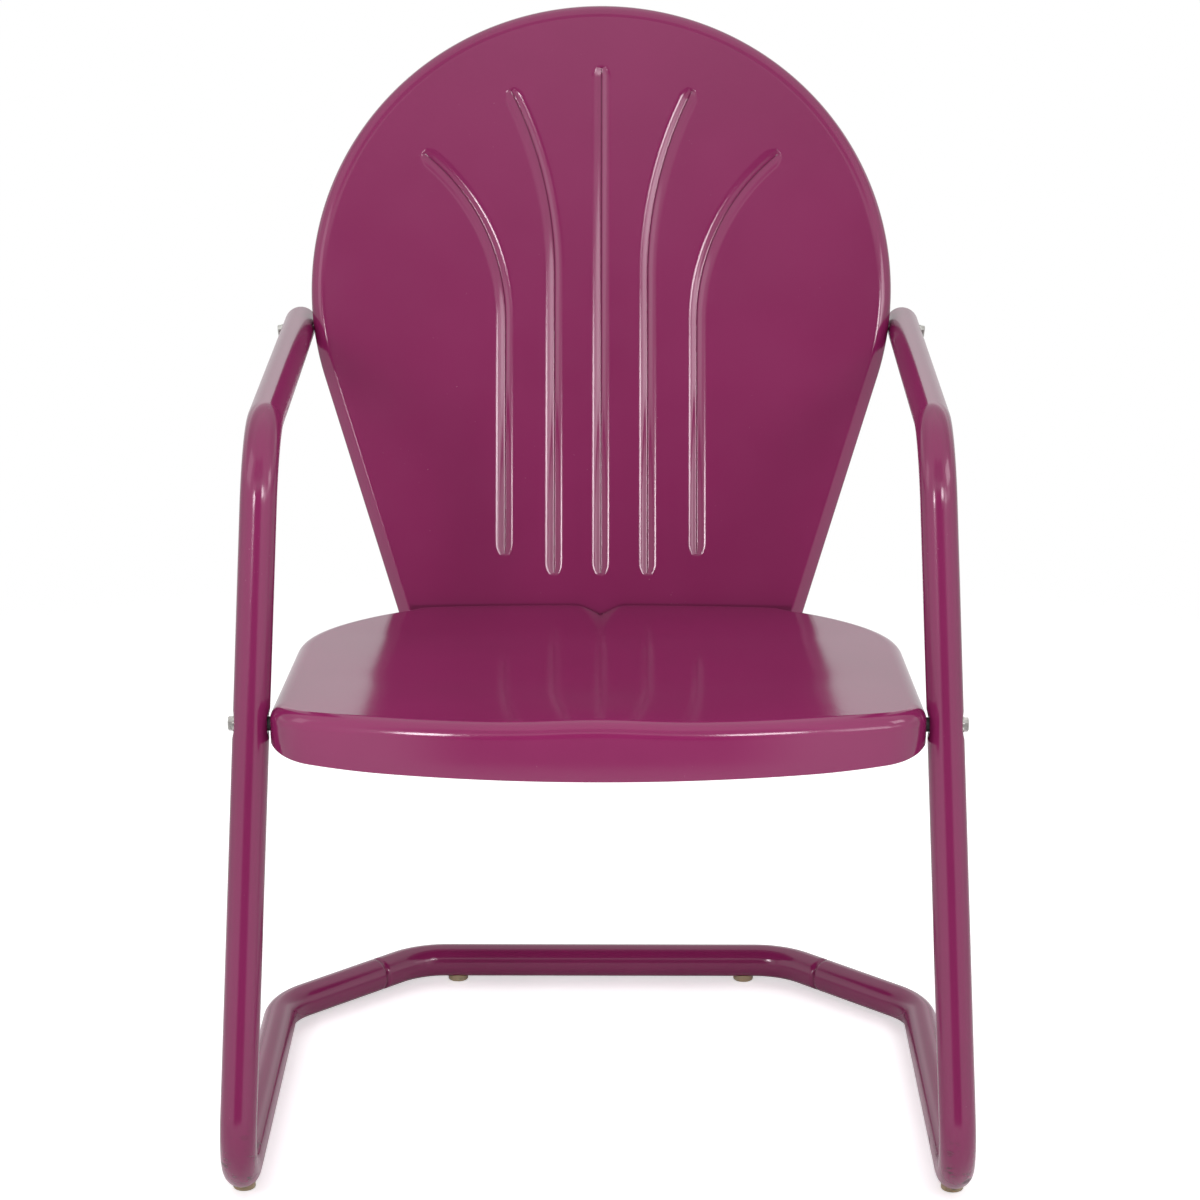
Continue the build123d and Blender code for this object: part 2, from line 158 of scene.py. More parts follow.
# How much painted shade darkens each point of the sheet's near side
def addPaintedShade(piece, values):
    dirtAndShade = piece.data.attributes.new("dirtAndShade", "FLOAT", "POINT")
    every = np.zeros(len(piece.data.vertices))
    every[:len(values)] = values
    dirtAndShade.data.foreach_set("value", every)


def spaced(points, step):
    points = np.asarray(points, dtype=float)
    run = np.concatenate([[0.0], np.cumsum(np.linalg.norm(np.diff(points, axis=0), axis=1))])
    stops = np.linspace(0.0, run[-1], max(2, int(round(run[-1] / step)) + 1))
    return np.stack([np.interp(stops, run, points[:, k]) for k in range(points.shape[1])], axis=1)


def sidewaysOf(points, closed):
    if closed:
        way = np.roll(points, -1, axis=0) - np.roll(points, 1, axis=0)
    else:
        way = np.gradient(points, axis=0)
    return unit(np.stack([way[:, 1], -way[:, 0]], axis=1))


def fillPoints(lowCorner, highCorner, step):
    across = np.arange(lowCorner[0], highCorner[0], step)
    along = np.arange(lowCorner[1], highCorner[1], step * 0.866)    # rows of even triangles
    grid = [(x + (0.5 * step if k % 2 else 0.0), y) for k, y in enumerate(along) for x in across]
    return np.array(grid)


def insideLoop(points, loop):
    inside = np.zeros(len(points), dtype=bool)
    a = loop
    b = np.roll(loop, -1, axis=0)
    for (ax, ay), (bx, by) in zip(a, b):
        if ay == by:
            continue
        crosses = (ay > points[:, 1]) != (by > points[:, 1])
        at = ax + (points[:, 1] - ay) * (bx - ax) / (by - ay)
        inside ^= crosses & (points[:, 0] < at)
    return inside


def farFrom(points, others, distance, batch=400):
    keep = np.ones(len(points), dtype=bool)
    for k in range(0, len(points), batch):
        block = points[k:k + batch]
        gap = np.min(np.linalg.norm(block[:, None, :] - others[None, :, :], axis=2), axis=1)
        keep[k:k + batch] = gap > distance
    return points[keep]


backShell = {
    "foot": (0.0, 0.1445, 0.3478),
    "lean": 18.0,
    "curveRadius": 1.345,
    "topRadius": 0.2493,
    "topCentre": 0.271,
    "footHalf": 0.1760,
    "tab": 0.034,
    "rimDepth": 0.038,
    "rimRows": (0.3, 0.6, 1.0),
    "edgeRound": 0.0125,
    "fold": (0.0040, 0.36, 0.0085, 0.50, 0.0055),   # radius, its turn, band width, turn there, last radius
    "foldBelow": (0.245, 0.190),                    # height where the fold begins and is full
    "sheet": 0.0012,
    "edgeStep": 0.004,
    "footPoints": 40,
    "fillStep": 0.009,
    "fillBox": ((-0.26, -0.04), (0.26, 0.53)),
    "fillGap": 0.004,
    "seamColumns": (0.172, 87),                     # half width and count of the columns just above the seat
    "seamRises": (-0.002, 0.0, 0.0005, 0.001, 0.0016, 0.0024, 0.0036, 0.0055, 0.009, 0.014),
    "seamGap": 0.002,
    "seamShade": (0.42, 0.0010, 0.2, 0.009),         # amount and reach of the painted shade in the seam, then of the softer painted shade above it
}

backRibs = {
    "sign": -1.0,           # -1 pressed in from the front, 1 pressed out
    "halfWidth": 0.0093,
    "flankAngle": 27.0,
    "rootRound": 0.0038,
    "shoulderRound": 0.0150,
    "rowStep": 0.0045,
    "columns": (0.0, 0.15, 0.3, 0.5, 0.7, 1.1, 1.7, 2.6, 3.6, 4.6, 5.6, 6.6, 7.6, 8.6, 9.6, 10.4, 11.0),
    "clear": 1.25,          # the panel's own points stay this many half widths away
    "endLength": 0.0085,    # the groove narrows over this length to its blunt end
    "endRows": 10,
    "endFan": 16,
    "endNarrow": 0.36,
    "endBlunt": 2.4,
    "endShade": 0.3,        # the low ends shade as softly as a drawn sheet does
    "lowEnds": 0.07,
    # painted shade in the crease at the bottom of each groove: its amount and half width
    "dirtAndShade": 0.8,
    "creaseShadeWidth": 0.00055,
    "centre": (0.0, 0.0268, 0.4640, 0.0, 0.0),      # across, low end, bend start, bend radius, bend angle
    "inner": (0.0402, 0.0268, 0.285, 0.352, 26.8),
    "outer": (0.0826, 0.0436, 0.2456, 0.181, 52.0),
}

lean = math.radians(backShell["lean"])
foot = np.array(backShell["foot"])
upPanel = np.array([0.0, math.sin(lean), math.cos(lean)])
outPanel = np.array([0.0, -math.cos(lean), math.sin(lean)])
acrossPanel = np.array([1.0, 0.0, 0.0])
ribRuns = [backRibs[key] for key in ("centre", "inner", "outer")]


# From across, up and out of the leaning panel to the chair's own axes
def toRow(u, v, h):
    across = np.multiply.outer(u, acrossPanel)
    return foot + across + np.multiply.outer(v, upPanel) + np.multiply.outer(h, outPanel)


def turnToRow(vectors):
    return vectors[:, :1] * acrossPanel + vectors[:, 1:2] * upPanel + vectors[:, 2:3] * outPanel


def panelFront(u):
    radius = backShell["curveRadius"]
    return radius - np.sqrt(radius * radius - u * u)


# Distance from the nearest rib's line, stretched where the rib narrows, and the width's share there
def ribShape(u, v):
    x = np.abs(u)
    nearest = np.full(np.shape(u), 1.0)
    width = np.ones(np.shape(u))
    for across, low, bendStart, bendRadius, bendAngle in ribRuns:
        turn = math.radians(bendAngle)
        length = bendStart - low + bendRadius * turn
        along = v - low
        aside = x - across
        if bendAngle:
            centre = across + bendRadius
            angle = np.arctan2(v - bendStart, centre - x)
            endU = x - (centre - bendRadius * math.cos(turn))
            endV = v - (bendStart + bendRadius * math.sin(turn))
            beyond = endU * math.sin(turn) + endV * math.cos(turn)
            onBend = v > bendStart
            onArc = onBend & (angle <= turn)
            pastBend = np.where(onBend, length + beyond, along)
            along = np.where(onArc, bendStart - low + bendRadius * angle, pastBend)
            endAside = np.where(beyond > 0.0, endU * math.cos(turn) - endV * math.sin(turn), 1.0)
            fromArc = np.hypot(x - centre, v - bendStart) - bendRadius
            aside = np.where(onArc, fromArc, np.where(onBend, endAside, aside))
        inside = np.clip(along, 0.0, length)
        share = ribWidth(np.minimum(inside, length - inside))
        distance = np.hypot(aside, (along - inside) * backRibs["endBlunt"]) / share
        width = np.where(distance < nearest, share, width)
        nearest = np.minimum(nearest, distance)
    return nearest, width


def ribWidth(fromEnd):
    return 1.0 - backRibs["endNarrow"] * np.clip(1.0 - fromEnd / backRibs["endLength"], 0.0, 1.0) ** 2


def ribDistance(u, v):
    return ribShape(u, v)[0]


def ribDepth(q):
    wide = backRibs["halfWidth"]
    flank = math.radians(backRibs["flankAngle"])
    root = backRibs["rootRound"]
    shoulder = backRibs["shoulderRound"]
    rootEnd = root * math.sin(flank)
    shoulderStart = wide - shoulder * math.sin(flank)
    shoulderLow = shoulder * (1 - math.cos(flank))
    flankDrop = math.tan(flank) * (shoulderStart - rootEnd)
    total = shoulderLow + flankDrop + root * (1 - math.cos(flank))
    q = np.minimum(np.abs(q), wide)
    nearRoot = total - (root - np.sqrt(np.maximum(root * root - np.minimum(q, rootEnd) ** 2, 0.0)))
    onFlank = shoulderLow + math.tan(flank) * (shoulderStart - q)
    nearTop = shoulder - np.sqrt(np.maximum(shoulder ** 2 - (wide - np.maximum(q, shoulderStart)) ** 2, 0.0))
    return np.where(q < rootEnd, nearRoot, np.where(q < shoulderStart, onFlank, nearTop))


def panelHeight(u, v):
    distance, width = ribShape(u, v)
    return panelFront(u) + backRibs["sign"] * width * ribDepth(distance)


def panelNormal(u, v):
    tiny = 2e-5
    slopeU = (panelHeight(u + tiny, v) - panelHeight(u - tiny, v)) / (2 * tiny)
    slopeV = (panelHeight(u, v + tiny) - panelHeight(u, v - tiny)) / (2 * tiny)
    slopeV = slopeV * np.where(v < backRibs["lowEnds"], backRibs["endShade"], 1.0)
    return unit(np.stack([-slopeU, -slopeV, np.ones_like(slopeU)], axis=1))


def backOutline():
    centre = backShell["topCentre"]
    radius = backShell["topRadius"]
    low = -backShell["tab"]
    reach = math.hypot(backShell["footHalf"], centre)
    way = math.atan2(centre, -backShell["footHalf"]) - math.asin(radius / reach)
    touch = (radius * math.sin(way), centre - radius * math.cos(way))
    footU = touch[0] - (touch[1] - low) / math.tan(way)
    angles = np.linspace(way - math.pi / 2, math.pi / 2, 700)
    arc = np.stack([radius * np.cos(angles), centre + radius * np.sin(angles)], axis=1)
    side = np.linspace((footU, low), touch, 200)[:-1]
    right = np.concatenate([side, arc])
    left = right[:-1][::-1] * np.array([-1.0, 1.0])
    return spaced(np.concatenate([right, left]), backShell["edgeStep"])


def ribPoints():
    columns = np.array(backRibs["columns"]) * mm
    across = columns * backRibs["halfWidth"] / columns[-1]
    offsets = np.concatenate([-across[:0:-1], across])
    ending = backRibs["endLength"]
    fan = backRibs["endFan"]
    flat = []
    for spacing, low, bendStart, bendRadius, bendAngle in ribRuns:
        turn = math.radians(bendAngle)
        straight = bendStart - low
        length = straight + bendRadius * turn
        middle = np.linspace(ending, length - ending, int((length - 2 * ending) / backRibs["rowStep"]))
        nearEnd = np.linspace(0.0, ending, backRibs["endRows"] + 1)[:-1]
        points = []
        for run in np.concatenate([nearEnd, middle, length - nearEnd[::-1]]):
            a = max(run - straight, 0.0) / bendRadius if bendAngle else 0.0
            u = spacing + bendRadius * (1 - math.cos(a))
            v = bendStart + bendRadius * math.sin(a) if a else low + run
            share = ribWidth(min(run, length - run))
            points += [(u + q * share * math.cos(a), v - q * share * math.sin(a)) for q in offsets]
            if run in (0.0, length):
                half = math.pi if run == 0.0 else 0.0
                for k in range(1, fan):
                    angle = half + math.pi * k / fan
                    aside = math.cos(angle) * share
                    on = math.sin(angle) * share / backRibs["endBlunt"]
                    turned = (aside * math.cos(a) + on * math.sin(a), on * math.cos(a) - aside * math.sin(a))
                    points += [(u + q * turned[0], v + q * turned[1]) for q in across[1:]]
        points = np.array(points)
        flat.append(points)
        if spacing:
            flat.append(points * np.array([-1.0, 1.0]))
    return np.concatenate(flat)


# Points of the panel just above the seat, where the seam's painted shade lies
def seamPoints():
    half, columns = backShell["seamColumns"]
    u = np.linspace(-half, half, columns)
    rises = np.array(backShell["seamRises"])
    return np.stack([np.repeat(u, len(rises)), (seatMeet(u)[:, None] + rises).ravel()], axis=1)


def makeBackShell():
    outline = backOutline()
    side = sidewaysOf(outline, False)
    wall = np.concatenate([side, np.zeros((len(side), 1))], axis=1)
    start, full = backShell["foldBelow"]
    folded = smooth((start - outline[:, 1]) / (start - full))
    profile = edgeProfile(folded, backShell["edgeRound"], backShell["fold"])
    inset = outline - side * backShell["edgeRound"]
    for _ in range(3):
        normal = panelNormal(inset[:, 0], inset[:, 1])
        rise = -(normal[:, :2] / normal[:, 2:3] * (outline - inset)).sum(axis=1)
        edge = np.concatenate([outline, (panelHeight(inset[:, 0], inset[:, 1]) + rise)[:, None]], axis=1)
        rows = turnedEdge(edge, normal, wall, profile)
        inset = rows[0][0][:, :2]
    lastRow = rows[-1][0]
    cutHeight = panelFront(outline[:, 0]) - backShell["rimDepth"]
    for part in backShell["rimRows"]:
        row = lastRow.copy()
        row[:, 2] = lastRow[:, 2] + (cutHeight - lastRow[:, 2]) * part
        rows.append((row, wall))
    ring = rows[0][0][:, :2]
    bottomU = np.linspace(ring[-1, 0], ring[0, 0], backShell["footPoints"])[1:-1]
    bottom = np.stack([bottomU, np.full_like(bottomU, -backShell["tab"])], axis=1)
    loop = np.concatenate([ring, bottom])
    ribs = ribPoints()
    fill = fillPoints(*backShell["fillBox"], backShell["fillStep"])
    fill = fill[insideLoop(fill, loop)]
    fill = farFrom(fill, loop, backShell["fillGap"])
    fill = fill[ribDistance(fill[:, 0], fill[:, 1]) > backRibs["halfWidth"] * backRibs["clear"]]
    seam = seamPoints()
    fill = farFrom(fill, seam, backShell["fillGap"])
    seam = seam[insideLoop(seam, ring)]
    seam = farFrom(seam, ring, backShell["seamGap"])
    flat = np.concatenate([loop, ribs, seam, fill])
    height = panelHeight(flat[:, 0], flat[:, 1])
    height[:len(ring)] = rows[0][0][:, 2]
    points = np.concatenate([flat, height[:, None]], axis=1)
    normals = panelNormal(flat[:, 0], flat[:, 1])
    rowList = [(toRow(p[:, 0], p[:, 1], p[:, 2]), turnToRow(n)) for p, n in rows]
    panel = toRow(points[:, 0], points[:, 1], points[:, 2])
    openEdge = range(len(ring), len(loop))
    piece = pressedSheet("backShell", flat, panel, turnToRow(normals), rowList, openEdge, backShell["sheet"])
    # Painted shade: the groove creases are darkened in the colour
    ribCreaseShade = np.exp(-(ribDistance(flat[:, 0], flat[:, 1]) / backRibs["creaseShadeWidth"]) ** 2)
    # Painted shade: the seam just above the seat, and a softer band above it, are darkened in the colour
    rise = np.maximum(flat[:, 1] - seatMeet(flat[:, 0]), 0.0)
    amount, reach, softShadeAmount, softShadeReach = backShell["seamShade"]
    inSeamShade = amount * np.exp(-(rise / reach) ** 2) + softShadeAmount * np.exp(-rise / softShadeReach)
    addPaintedShade(piece, np.maximum(backRibs["dirtAndShade"] * ribCreaseShade, inSeamShade))
    return piece


seatPan = {
    "halfWidth": 0.2462,
    "frontY": -0.3406,
    "frontHeight": 0.3965,
    "frontRadius": 0.676,
    "cornerRadius": 0.046,
    "sideEndY": -0.0336,
    "rearRadius": 0.200,
    "rearCorner": 0.010,
    "edgeRound": 0.0128,
    "rearRound": 0.004,
    "rearFrom": (0.012, 0.02),      # where the rear edge's tighter round sets in, and over what run
    "rearFacing": (0.5, 0.4),       # the same for how squarely the edge faces the back
    "apron": 0.0445,
    "apronCurl": 0.0010,
    "apronRows": (0.25, 0.5, 0.6, 0.7, 0.8, 0.9, 0.96, 1.0),
    "curlHeight": 0.016,
    "curlFacing": (0.3, 0.6),
    "curlDrop": (0.012, 0.008),
    "skirt": 0.030,
    "stepStart": 0.030,
    "stepEnd": 0.076,
    "stepSoft": 0.012,
    "pommel": 0.0030,
    "pommelWidth": 0.050,
    "pommelStart": 0.01,
    "pommelLength": 0.14,
    "dish": 0.0045,
    "dishFront": 0.2,               # the dish sinks over this run behind the front edge
    "dishRear": (0.14, 0.15),       # and rises from here before the back, over this run
    "dishPower": 2.5,
    "thighDip": 0.0012,
    "drain": 0.0085,
    "drainHalf": 0.0175,
    "drainLength": 0.13,
    "drainPower": 1.5,
    "drainRound": 0.0010,
    "creaseRound": 0.0007,
    "drainColumns": (0.0, 0.4, 0.9, 1.6, 2.6, 3.8, 5.2, 6.8, 8.6, 10.6, 12.8, 15.0, 17.2, 19.4, 22.0, 25.0),
    "drainRows": (-0.01, 0.16, 0.003),
    "drainGap": 0.0012,
    "sheet": 0.0012,
    "gap": 0.0003,
    "edgeStep": 0.004,
    "fillStep": 0.009,
    "fillBox": ((-0.26, -0.36), (0.26, 0.16)),
    "fillGap": 0.004,
    "rearShade": (0.22, 0.012),      # amount and reach of the painted shade along the back
    "drainShade": (0.5, 0.005, 0.05),    # amount, half width and length of the painted shade in the drain dip
    # half width of the seat that takes the painted shade
    "shadeHalf": 0.175,
}


def seatPlane(y):
    fall = (seatPan["frontHeight"] - backShell["foot"][2]) / (backShell["foot"][1] - seatPan["frontY"])
    return seatPan["frontHeight"] - fall * (y - seatPan["frontY"])


def seatTop(x, y):
    front = seatPan["frontY"]
    rear = backShell["foot"][1]
    riseStart, riseRun = seatPan["dishRear"]
    inFront = 1.0 - smooth((y - front - seatPan["pommelStart"]) / seatPan["pommelLength"])
    dishIn = smooth((y - front) / seatPan["dishFront"]) * (1.0 - smooth((y - rear + riseStart) / riseRun))
    acrossDish = np.maximum(1.0 - np.abs(x / seatPan["halfWidth"]) ** seatPan["dishPower"], 0.0)
    pommel = seatPan["pommel"] * inFront * np.exp(-(x / seatPan["pommelWidth"]) ** 2)
    dip = -acrossDish * (seatPan["dish"] * dishIn + seatPan["thighDip"] * inFront)
    drainIn = np.clip(1.0 - (rear - y) / seatPan["drainLength"], 0.0, 1.2) ** seatPan["drainPower"]
    crease = np.sqrt(x * x + seatPan["creaseRound"] ** 2) - seatPan["creaseRound"]
    deep = seatPan["drain"] * (drainIn - crease / seatPan["drainHalf"])
    drain = -0.5 * (deep + np.sqrt(deep * deep + seatPan["drainRound"] ** 2)) * smooth(drainIn / 0.1)
    return seatPlane(y) + pommel + dip + drain


def seatNormal(x, y):
    tiny = 5e-5
    slopeX = (seatTop(x + tiny, y) - seatTop(x - tiny, y)) / (2 * tiny)
    slopeY = (seatTop(x, y + tiny) - seatTop(x, y - tiny)) / (2 * tiny)
    return unit(np.stack([-slopeX, -slopeY, np.ones_like(slopeX)], axis=1))


# Rear edge of the seat, where its top meets the leaning back, and how far up the back that is
def seatRearY(x):
    front = panelFront(x) + seatPan["gap"]
    y = np.full(np.shape(x), backShell["foot"][1])
    for _ in range(4):
        v = (seatTop(x, y) - foot[2] - front * math.sin(lean)) / math.cos(lean)
        y = foot[1] + v * math.sin(lean) - front * math.cos(lean)
    return y


def seatMeet(x):
    front = panelFront(x) + seatPan["gap"]
    return (seatTop(x, seatRearY(x)) - foot[2] - front * math.sin(lean)) / math.cos(lean)


def seatOutline():
    half = seatPan["halfWidth"]
    frontRadius = seatPan["frontRadius"]
    corner = seatPan["cornerRadius"]
    rearRadius = seatPan["rearRadius"]
    frontCentre = seatPan["frontY"] + frontRadius
    cornerX = half - corner
    cornerY = frontCentre - math.sqrt((frontRadius - corner) ** 2 - cornerX ** 2)
    toward = math.atan2(cornerX, frontCentre - cornerY)
    a = np.linspace(0.0, toward, 400)
    front = np.stack([frontRadius * np.sin(a), frontCentre - frontRadius * np.cos(a)], axis=1)
    a = np.linspace(toward, math.pi / 2, 120)
    turn = np.stack([cornerX + corner * np.sin(a), cornerY - corner * np.cos(a)], axis=1)
    side = np.linspace((half, cornerY), (half, seatPan["sideEndY"]), 300)
    a = np.linspace(0.0, math.pi / 2, 2000)
    arcX = half - rearRadius + rearRadius * np.cos(a)
    arc = np.stack([arcX, seatPan["sideEndY"] + rearRadius * np.sin(a)], axis=1)
    arc = arc[arc[:, 1] < seatRearY(arc[:, 0])]
    meet = arc[-1]
    rearX = np.linspace(meet[0], 0.0, 600)
    rear = np.stack([rearX, seatRearY(rearX)], axis=1)
    cut = seatPan["rearCorner"]
    arc = arc[np.linalg.norm(arc - meet, axis=1) > cut]
    rear = rear[np.linalg.norm(rear - meet, axis=1) > cut]
    t = np.linspace(0.0, 1.0, 60)[:, None]
    bend = (1 - t) ** 2 * arc[-1] + 2 * t * (1 - t) * meet + t ** 2 * rear[0]
    right = np.concatenate([front, turn[1:], side[1:], arc[1:], bend[1:], rear[1:]])
    left = right[1:-1][::-1] * np.array([-1.0, 1.0])
    loop = spaced(np.concatenate([right, left, right[:1]]), seatPan["edgeStep"])
    return loop[:-1], meet


def seatLowEdge(y):
    low = seatPan["frontHeight"] - seatPan["apron"]
    skirt = seatPlane(y) - seatPan["skirt"]
    start = seatPan["frontY"] + seatPan["stepStart"]
    end = seatPan["frontY"] + seatPan["stepEnd"]
    soft = seatPan["stepSoft"]
    return low + (skirt - low) * smooth((y - start + soft) / (end - start + 2 * soft))


def makeSeatPan():
    outline, meet = seatOutline()
    side = sidewaysOf(outline, True)
    before, run = seatPan["rearFrom"]
    facing, facingRun = seatPan["rearFacing"]
    atRear = smooth((outline[:, 1] - meet[1] + before) / run) * smooth((side[:, 1] - facing) / facingRun)
    tilt = lean * atRear
    wall = np.stack([side[:, 0], side[:, 1] * np.cos(tilt), -side[:, 1] * np.sin(tilt)], axis=1)
    down = np.stack([np.zeros_like(tilt), -np.sin(tilt), -np.cos(tilt)], axis=1)
    radius = seatPan["edgeRound"] + (seatPan["rearRound"] - seatPan["edgeRound"]) * atRear
    profile = edgeProfile(np.zeros(len(outline)), radius)
    inset = outline - side * radius[:, None]
    for _ in range(3):
        normal = seatNormal(inset[:, 0], inset[:, 1])
        rise = -(normal[:, :2] / normal[:, 2:3] * (outline - inset)).sum(axis=1)
        edge = np.concatenate([outline, (seatTop(inset[:, 0], inset[:, 1]) + rise)[:, None]], axis=1)
        rows = turnedEdge(edge, normal, wall, profile)
        inset = rows[0][0][:, :2]
    lastRow = rows[-1][0]
    drop = (lastRow[:, 2] - seatLowEdge(lastRow[:, 1])) / np.cos(tilt)
    facing, facingRun = seatPan["curlFacing"]
    least, run = seatPan["curlDrop"]
    curling = smooth((facing - side[:, 1]) / facingRun) * smooth((drop - least) / run)
    for part in seatPan["apronRows"]:
        into = np.clip(1.0 - drop * (1.0 - part) / seatPan["curlHeight"], 0.0, 1.0) * curling
        shift = wall * (seatPan["apronCurl"] * into ** 2)[:, None]
        slope = 2 * seatPan["apronCurl"] / seatPan["curlHeight"] * into
        rows.append((lastRow + down * (drop * part)[:, None] - shift, unit(wall + down * slope[:, None])))
    ring = rows[0][0][:, :2]
    columns = np.array(seatPan["drainColumns"]) * mm
    columns = np.concatenate([-columns[:0:-1], columns])
    fine = np.array([(x, y) for y in np.arange(*seatPan["drainRows"]) for x in columns])
    fine = fine[insideLoop(fine, ring)]
    fine = farFrom(fine, ring, seatPan["drainGap"])
    fill = fillPoints(*seatPan["fillBox"], seatPan["fillStep"])
    fill = fill[insideLoop(fill, ring)]
    fill = farFrom(fill, np.concatenate([ring, fine]), seatPan["fillGap"])
    flat = np.concatenate([ring, fine, fill])
    height = seatTop(flat[:, 0], flat[:, 1])
    height[:len(ring)] = rows[0][0][:, 2]
    points = np.concatenate([flat, height[:, None]], axis=1)
    normals = seatNormal(flat[:, 0], flat[:, 1])
    piece = pressedSheet("seatPan", flat, points, normals, rows, [], seatPan["sheet"])
    x = flat[:, 0]
    # Painted shade: the seat is darkened along the back, where it meets the back shell
    toRear = np.maximum(seatRearY(x) - flat[:, 1], 0.0)
    amount, reach = seatPan["rearShade"]
    shadeAtBack = amount * np.exp(-toRear / reach)
    # Painted shade in the drain dip, strongest at the back
    amount, half, length = seatPan["drainShade"]
    inDrainShade = amount * (np.exp(-(x / half) ** 2) * (1.0 - smooth(toRear / length)))
    addPaintedShade(piece, np.maximum(shadeAtBack, inDrainShade) * (np.abs(x) < seatPan["shadeHalf"]))
    return piece


# Node helpers: a value that is a socket is linked, anything else is set
def addNode(tree, kind, inputs=None, **settings):
    node = tree.nodes.new(kind)
    for key, value in settings.items():
        setattr(node, key, value)
    for key, value in (inputs or {}).items():
        if isinstance(value, bpy.types.NodeSocket):
            tree.links.new(value, node.inputs[key])
        else:
            node.inputs[key].default_value = value
    return node


def newGroup(name, kind, inputs, outputs):
    tree = bpy.data.node_groups.new(name, kind)
    for label, socket, value in inputs:
        made = tree.interface.new_socket(label, in_out="INPUT", socket_type="NodeSocket" + socket)
        if value is not None:
            made.default_value = value
    for label, socket in outputs:
        tree.interface.new_socket(label, in_out="OUTPUT", socket_type="NodeSocket" + socket)
    return tree, tree.nodes.new("NodeGroupInput"), tree.nodes.new("NodeGroupOutput")


def maths(tree, operation, *values):
    return addNode(tree, "ShaderNodeMath", dict(enumerate(values)), operation=operation).outputs[0]


def vectorMaths(tree, operation, first, second=None, scale=None):
    inputs = {0: first}
    if second is not None:
        inputs[1] = second
    if scale is not None:
        inputs["Scale"] = scale
    node = addNode(tree, "ShaderNodeVectorMath", inputs, operation=operation)
    return node.outputs["Value"] if operation in ("DOT_PRODUCT", "LENGTH") else node.outputs["Vector"]


def remap(tree, value, low, high, toLow=0.0, toHigh=1.0, kind="SMOOTHSTEP"):
    inputs = {0: value, 1: low, 2: high, 3: toLow, 4: toHigh}
    return addNode(tree, "ShaderNodeMapRange", inputs, interpolation_type=kind).outputs[0]


def noise(tree, place, scale, detail=2.0, roughness=0.5):
    inputs = {"Vector": place, "Scale": scale, "Detail": detail, "Roughness": roughness}
    return addNode(tree, "ShaderNodeTexNoise", inputs).outputs["Fac"]


def mixColour(tree, factor, first, second):
    return addNode(tree, "ShaderNodeMix", {0: factor, 6: first, 7: second}, data_type="RGBA").outputs[2]


def mixValue(tree, factor, first, second):
    return addNode(tree, "ShaderNodeMix", {0: factor, 2: first, 3: second}, data_type="FLOAT").outputs[0]


sideFrame = {
    "tubeRadius": 0.014,
    "legBolt": (0.261, -0.2579, 0.3704),
    "legSlant": 12.58,
    "legSplay": 2.15,
    "armCornerHeight": 0.583,
    "armBoltRise": 0.2394,
    "armBoltSetback": 0.0272,
    "armGap": 0.0003,
    "armTail": 0.031,
    "dome": (88.0, 4.0, 22),        # first and last angle of the rounded arm end, and its rows
    "floorLine": 0.0176,
    "runnerCorner": (0.2725, 0.038),
    "crossbarCorner": (0.161, 0.149),
    "bends": (0.065, 0.050, 0.060),
    "seam": 0.109,
    "seamChamfer": 0.0021,
    "legFlat": 0.0125,
    "armFlat": 0.0130,
    "flatRadius": 0.0075,
    "flatSlope": 0.47,
    "noFlat": 1.0,                  # a flat this far out presses nothing
    "sides": 72,
    "runStep": 0.004,
    "boltStep": 0.0012,
    "boltReach": 0.019,
}


# Presses a tube flat round a bolt, as a die does, with a cone running out to the round
def pressFlatGroup():
    inputs = [("Geometry", "Geometry", None), ("Bolt Point", "Vector", None), ("Bolt Axis", "Vector", None),
              ("Outer Flat", "Float", sideFrame["noFlat"]), ("Inner Flat", "Float", sideFrame["noFlat"]),
              ("Flat Radius", "Float", sideFrame["flatRadius"]), ("Slope", "Float", sideFrame["flatSlope"])]
    tree, given, result = newGroup("pressFlat", "GeometryNodeTree", inputs, [("Geometry", "Geometry")])
    given = given.outputs
    place = addNode(tree, "GeometryNodeInputPosition").outputs[0]
    offset = vectorMaths(tree, "SUBTRACT", place, given["Bolt Point"])
    along = vectorMaths(tree, "DOT_PRODUCT", offset, given["Bolt Axis"])
    onAxis = vectorMaths(tree, "SCALE", given["Bolt Axis"], scale=along)
    away = vectorMaths(tree, "LENGTH", vectorMaths(tree, "SUBTRACT", offset, onAxis))
    past = maths(tree, "MAXIMUM", maths(tree, "SUBTRACT", away, given["Flat Radius"]), 0.0)
    rise = maths(tree, "MULTIPLY", past, given["Slope"])
    outer = maths(tree, "ADD", given["Outer Flat"], rise)
    inner = maths(tree, "MULTIPLY", maths(tree, "ADD", given["Inner Flat"], rise), -1.0)
    pressed = maths(tree, "MAXIMUM", maths(tree, "MINIMUM", along, outer), inner)
    shift = vectorMaths(tree, "SCALE", given["Bolt Axis"], scale=maths(tree, "SUBTRACT", pressed, along))
    moved = addNode(tree, "GeometryNodeSetPosition", {"Geometry": given["Geometry"], "Offset": shift})
    tree.links.new(moved.outputs[0], result.inputs[0])
    return tree


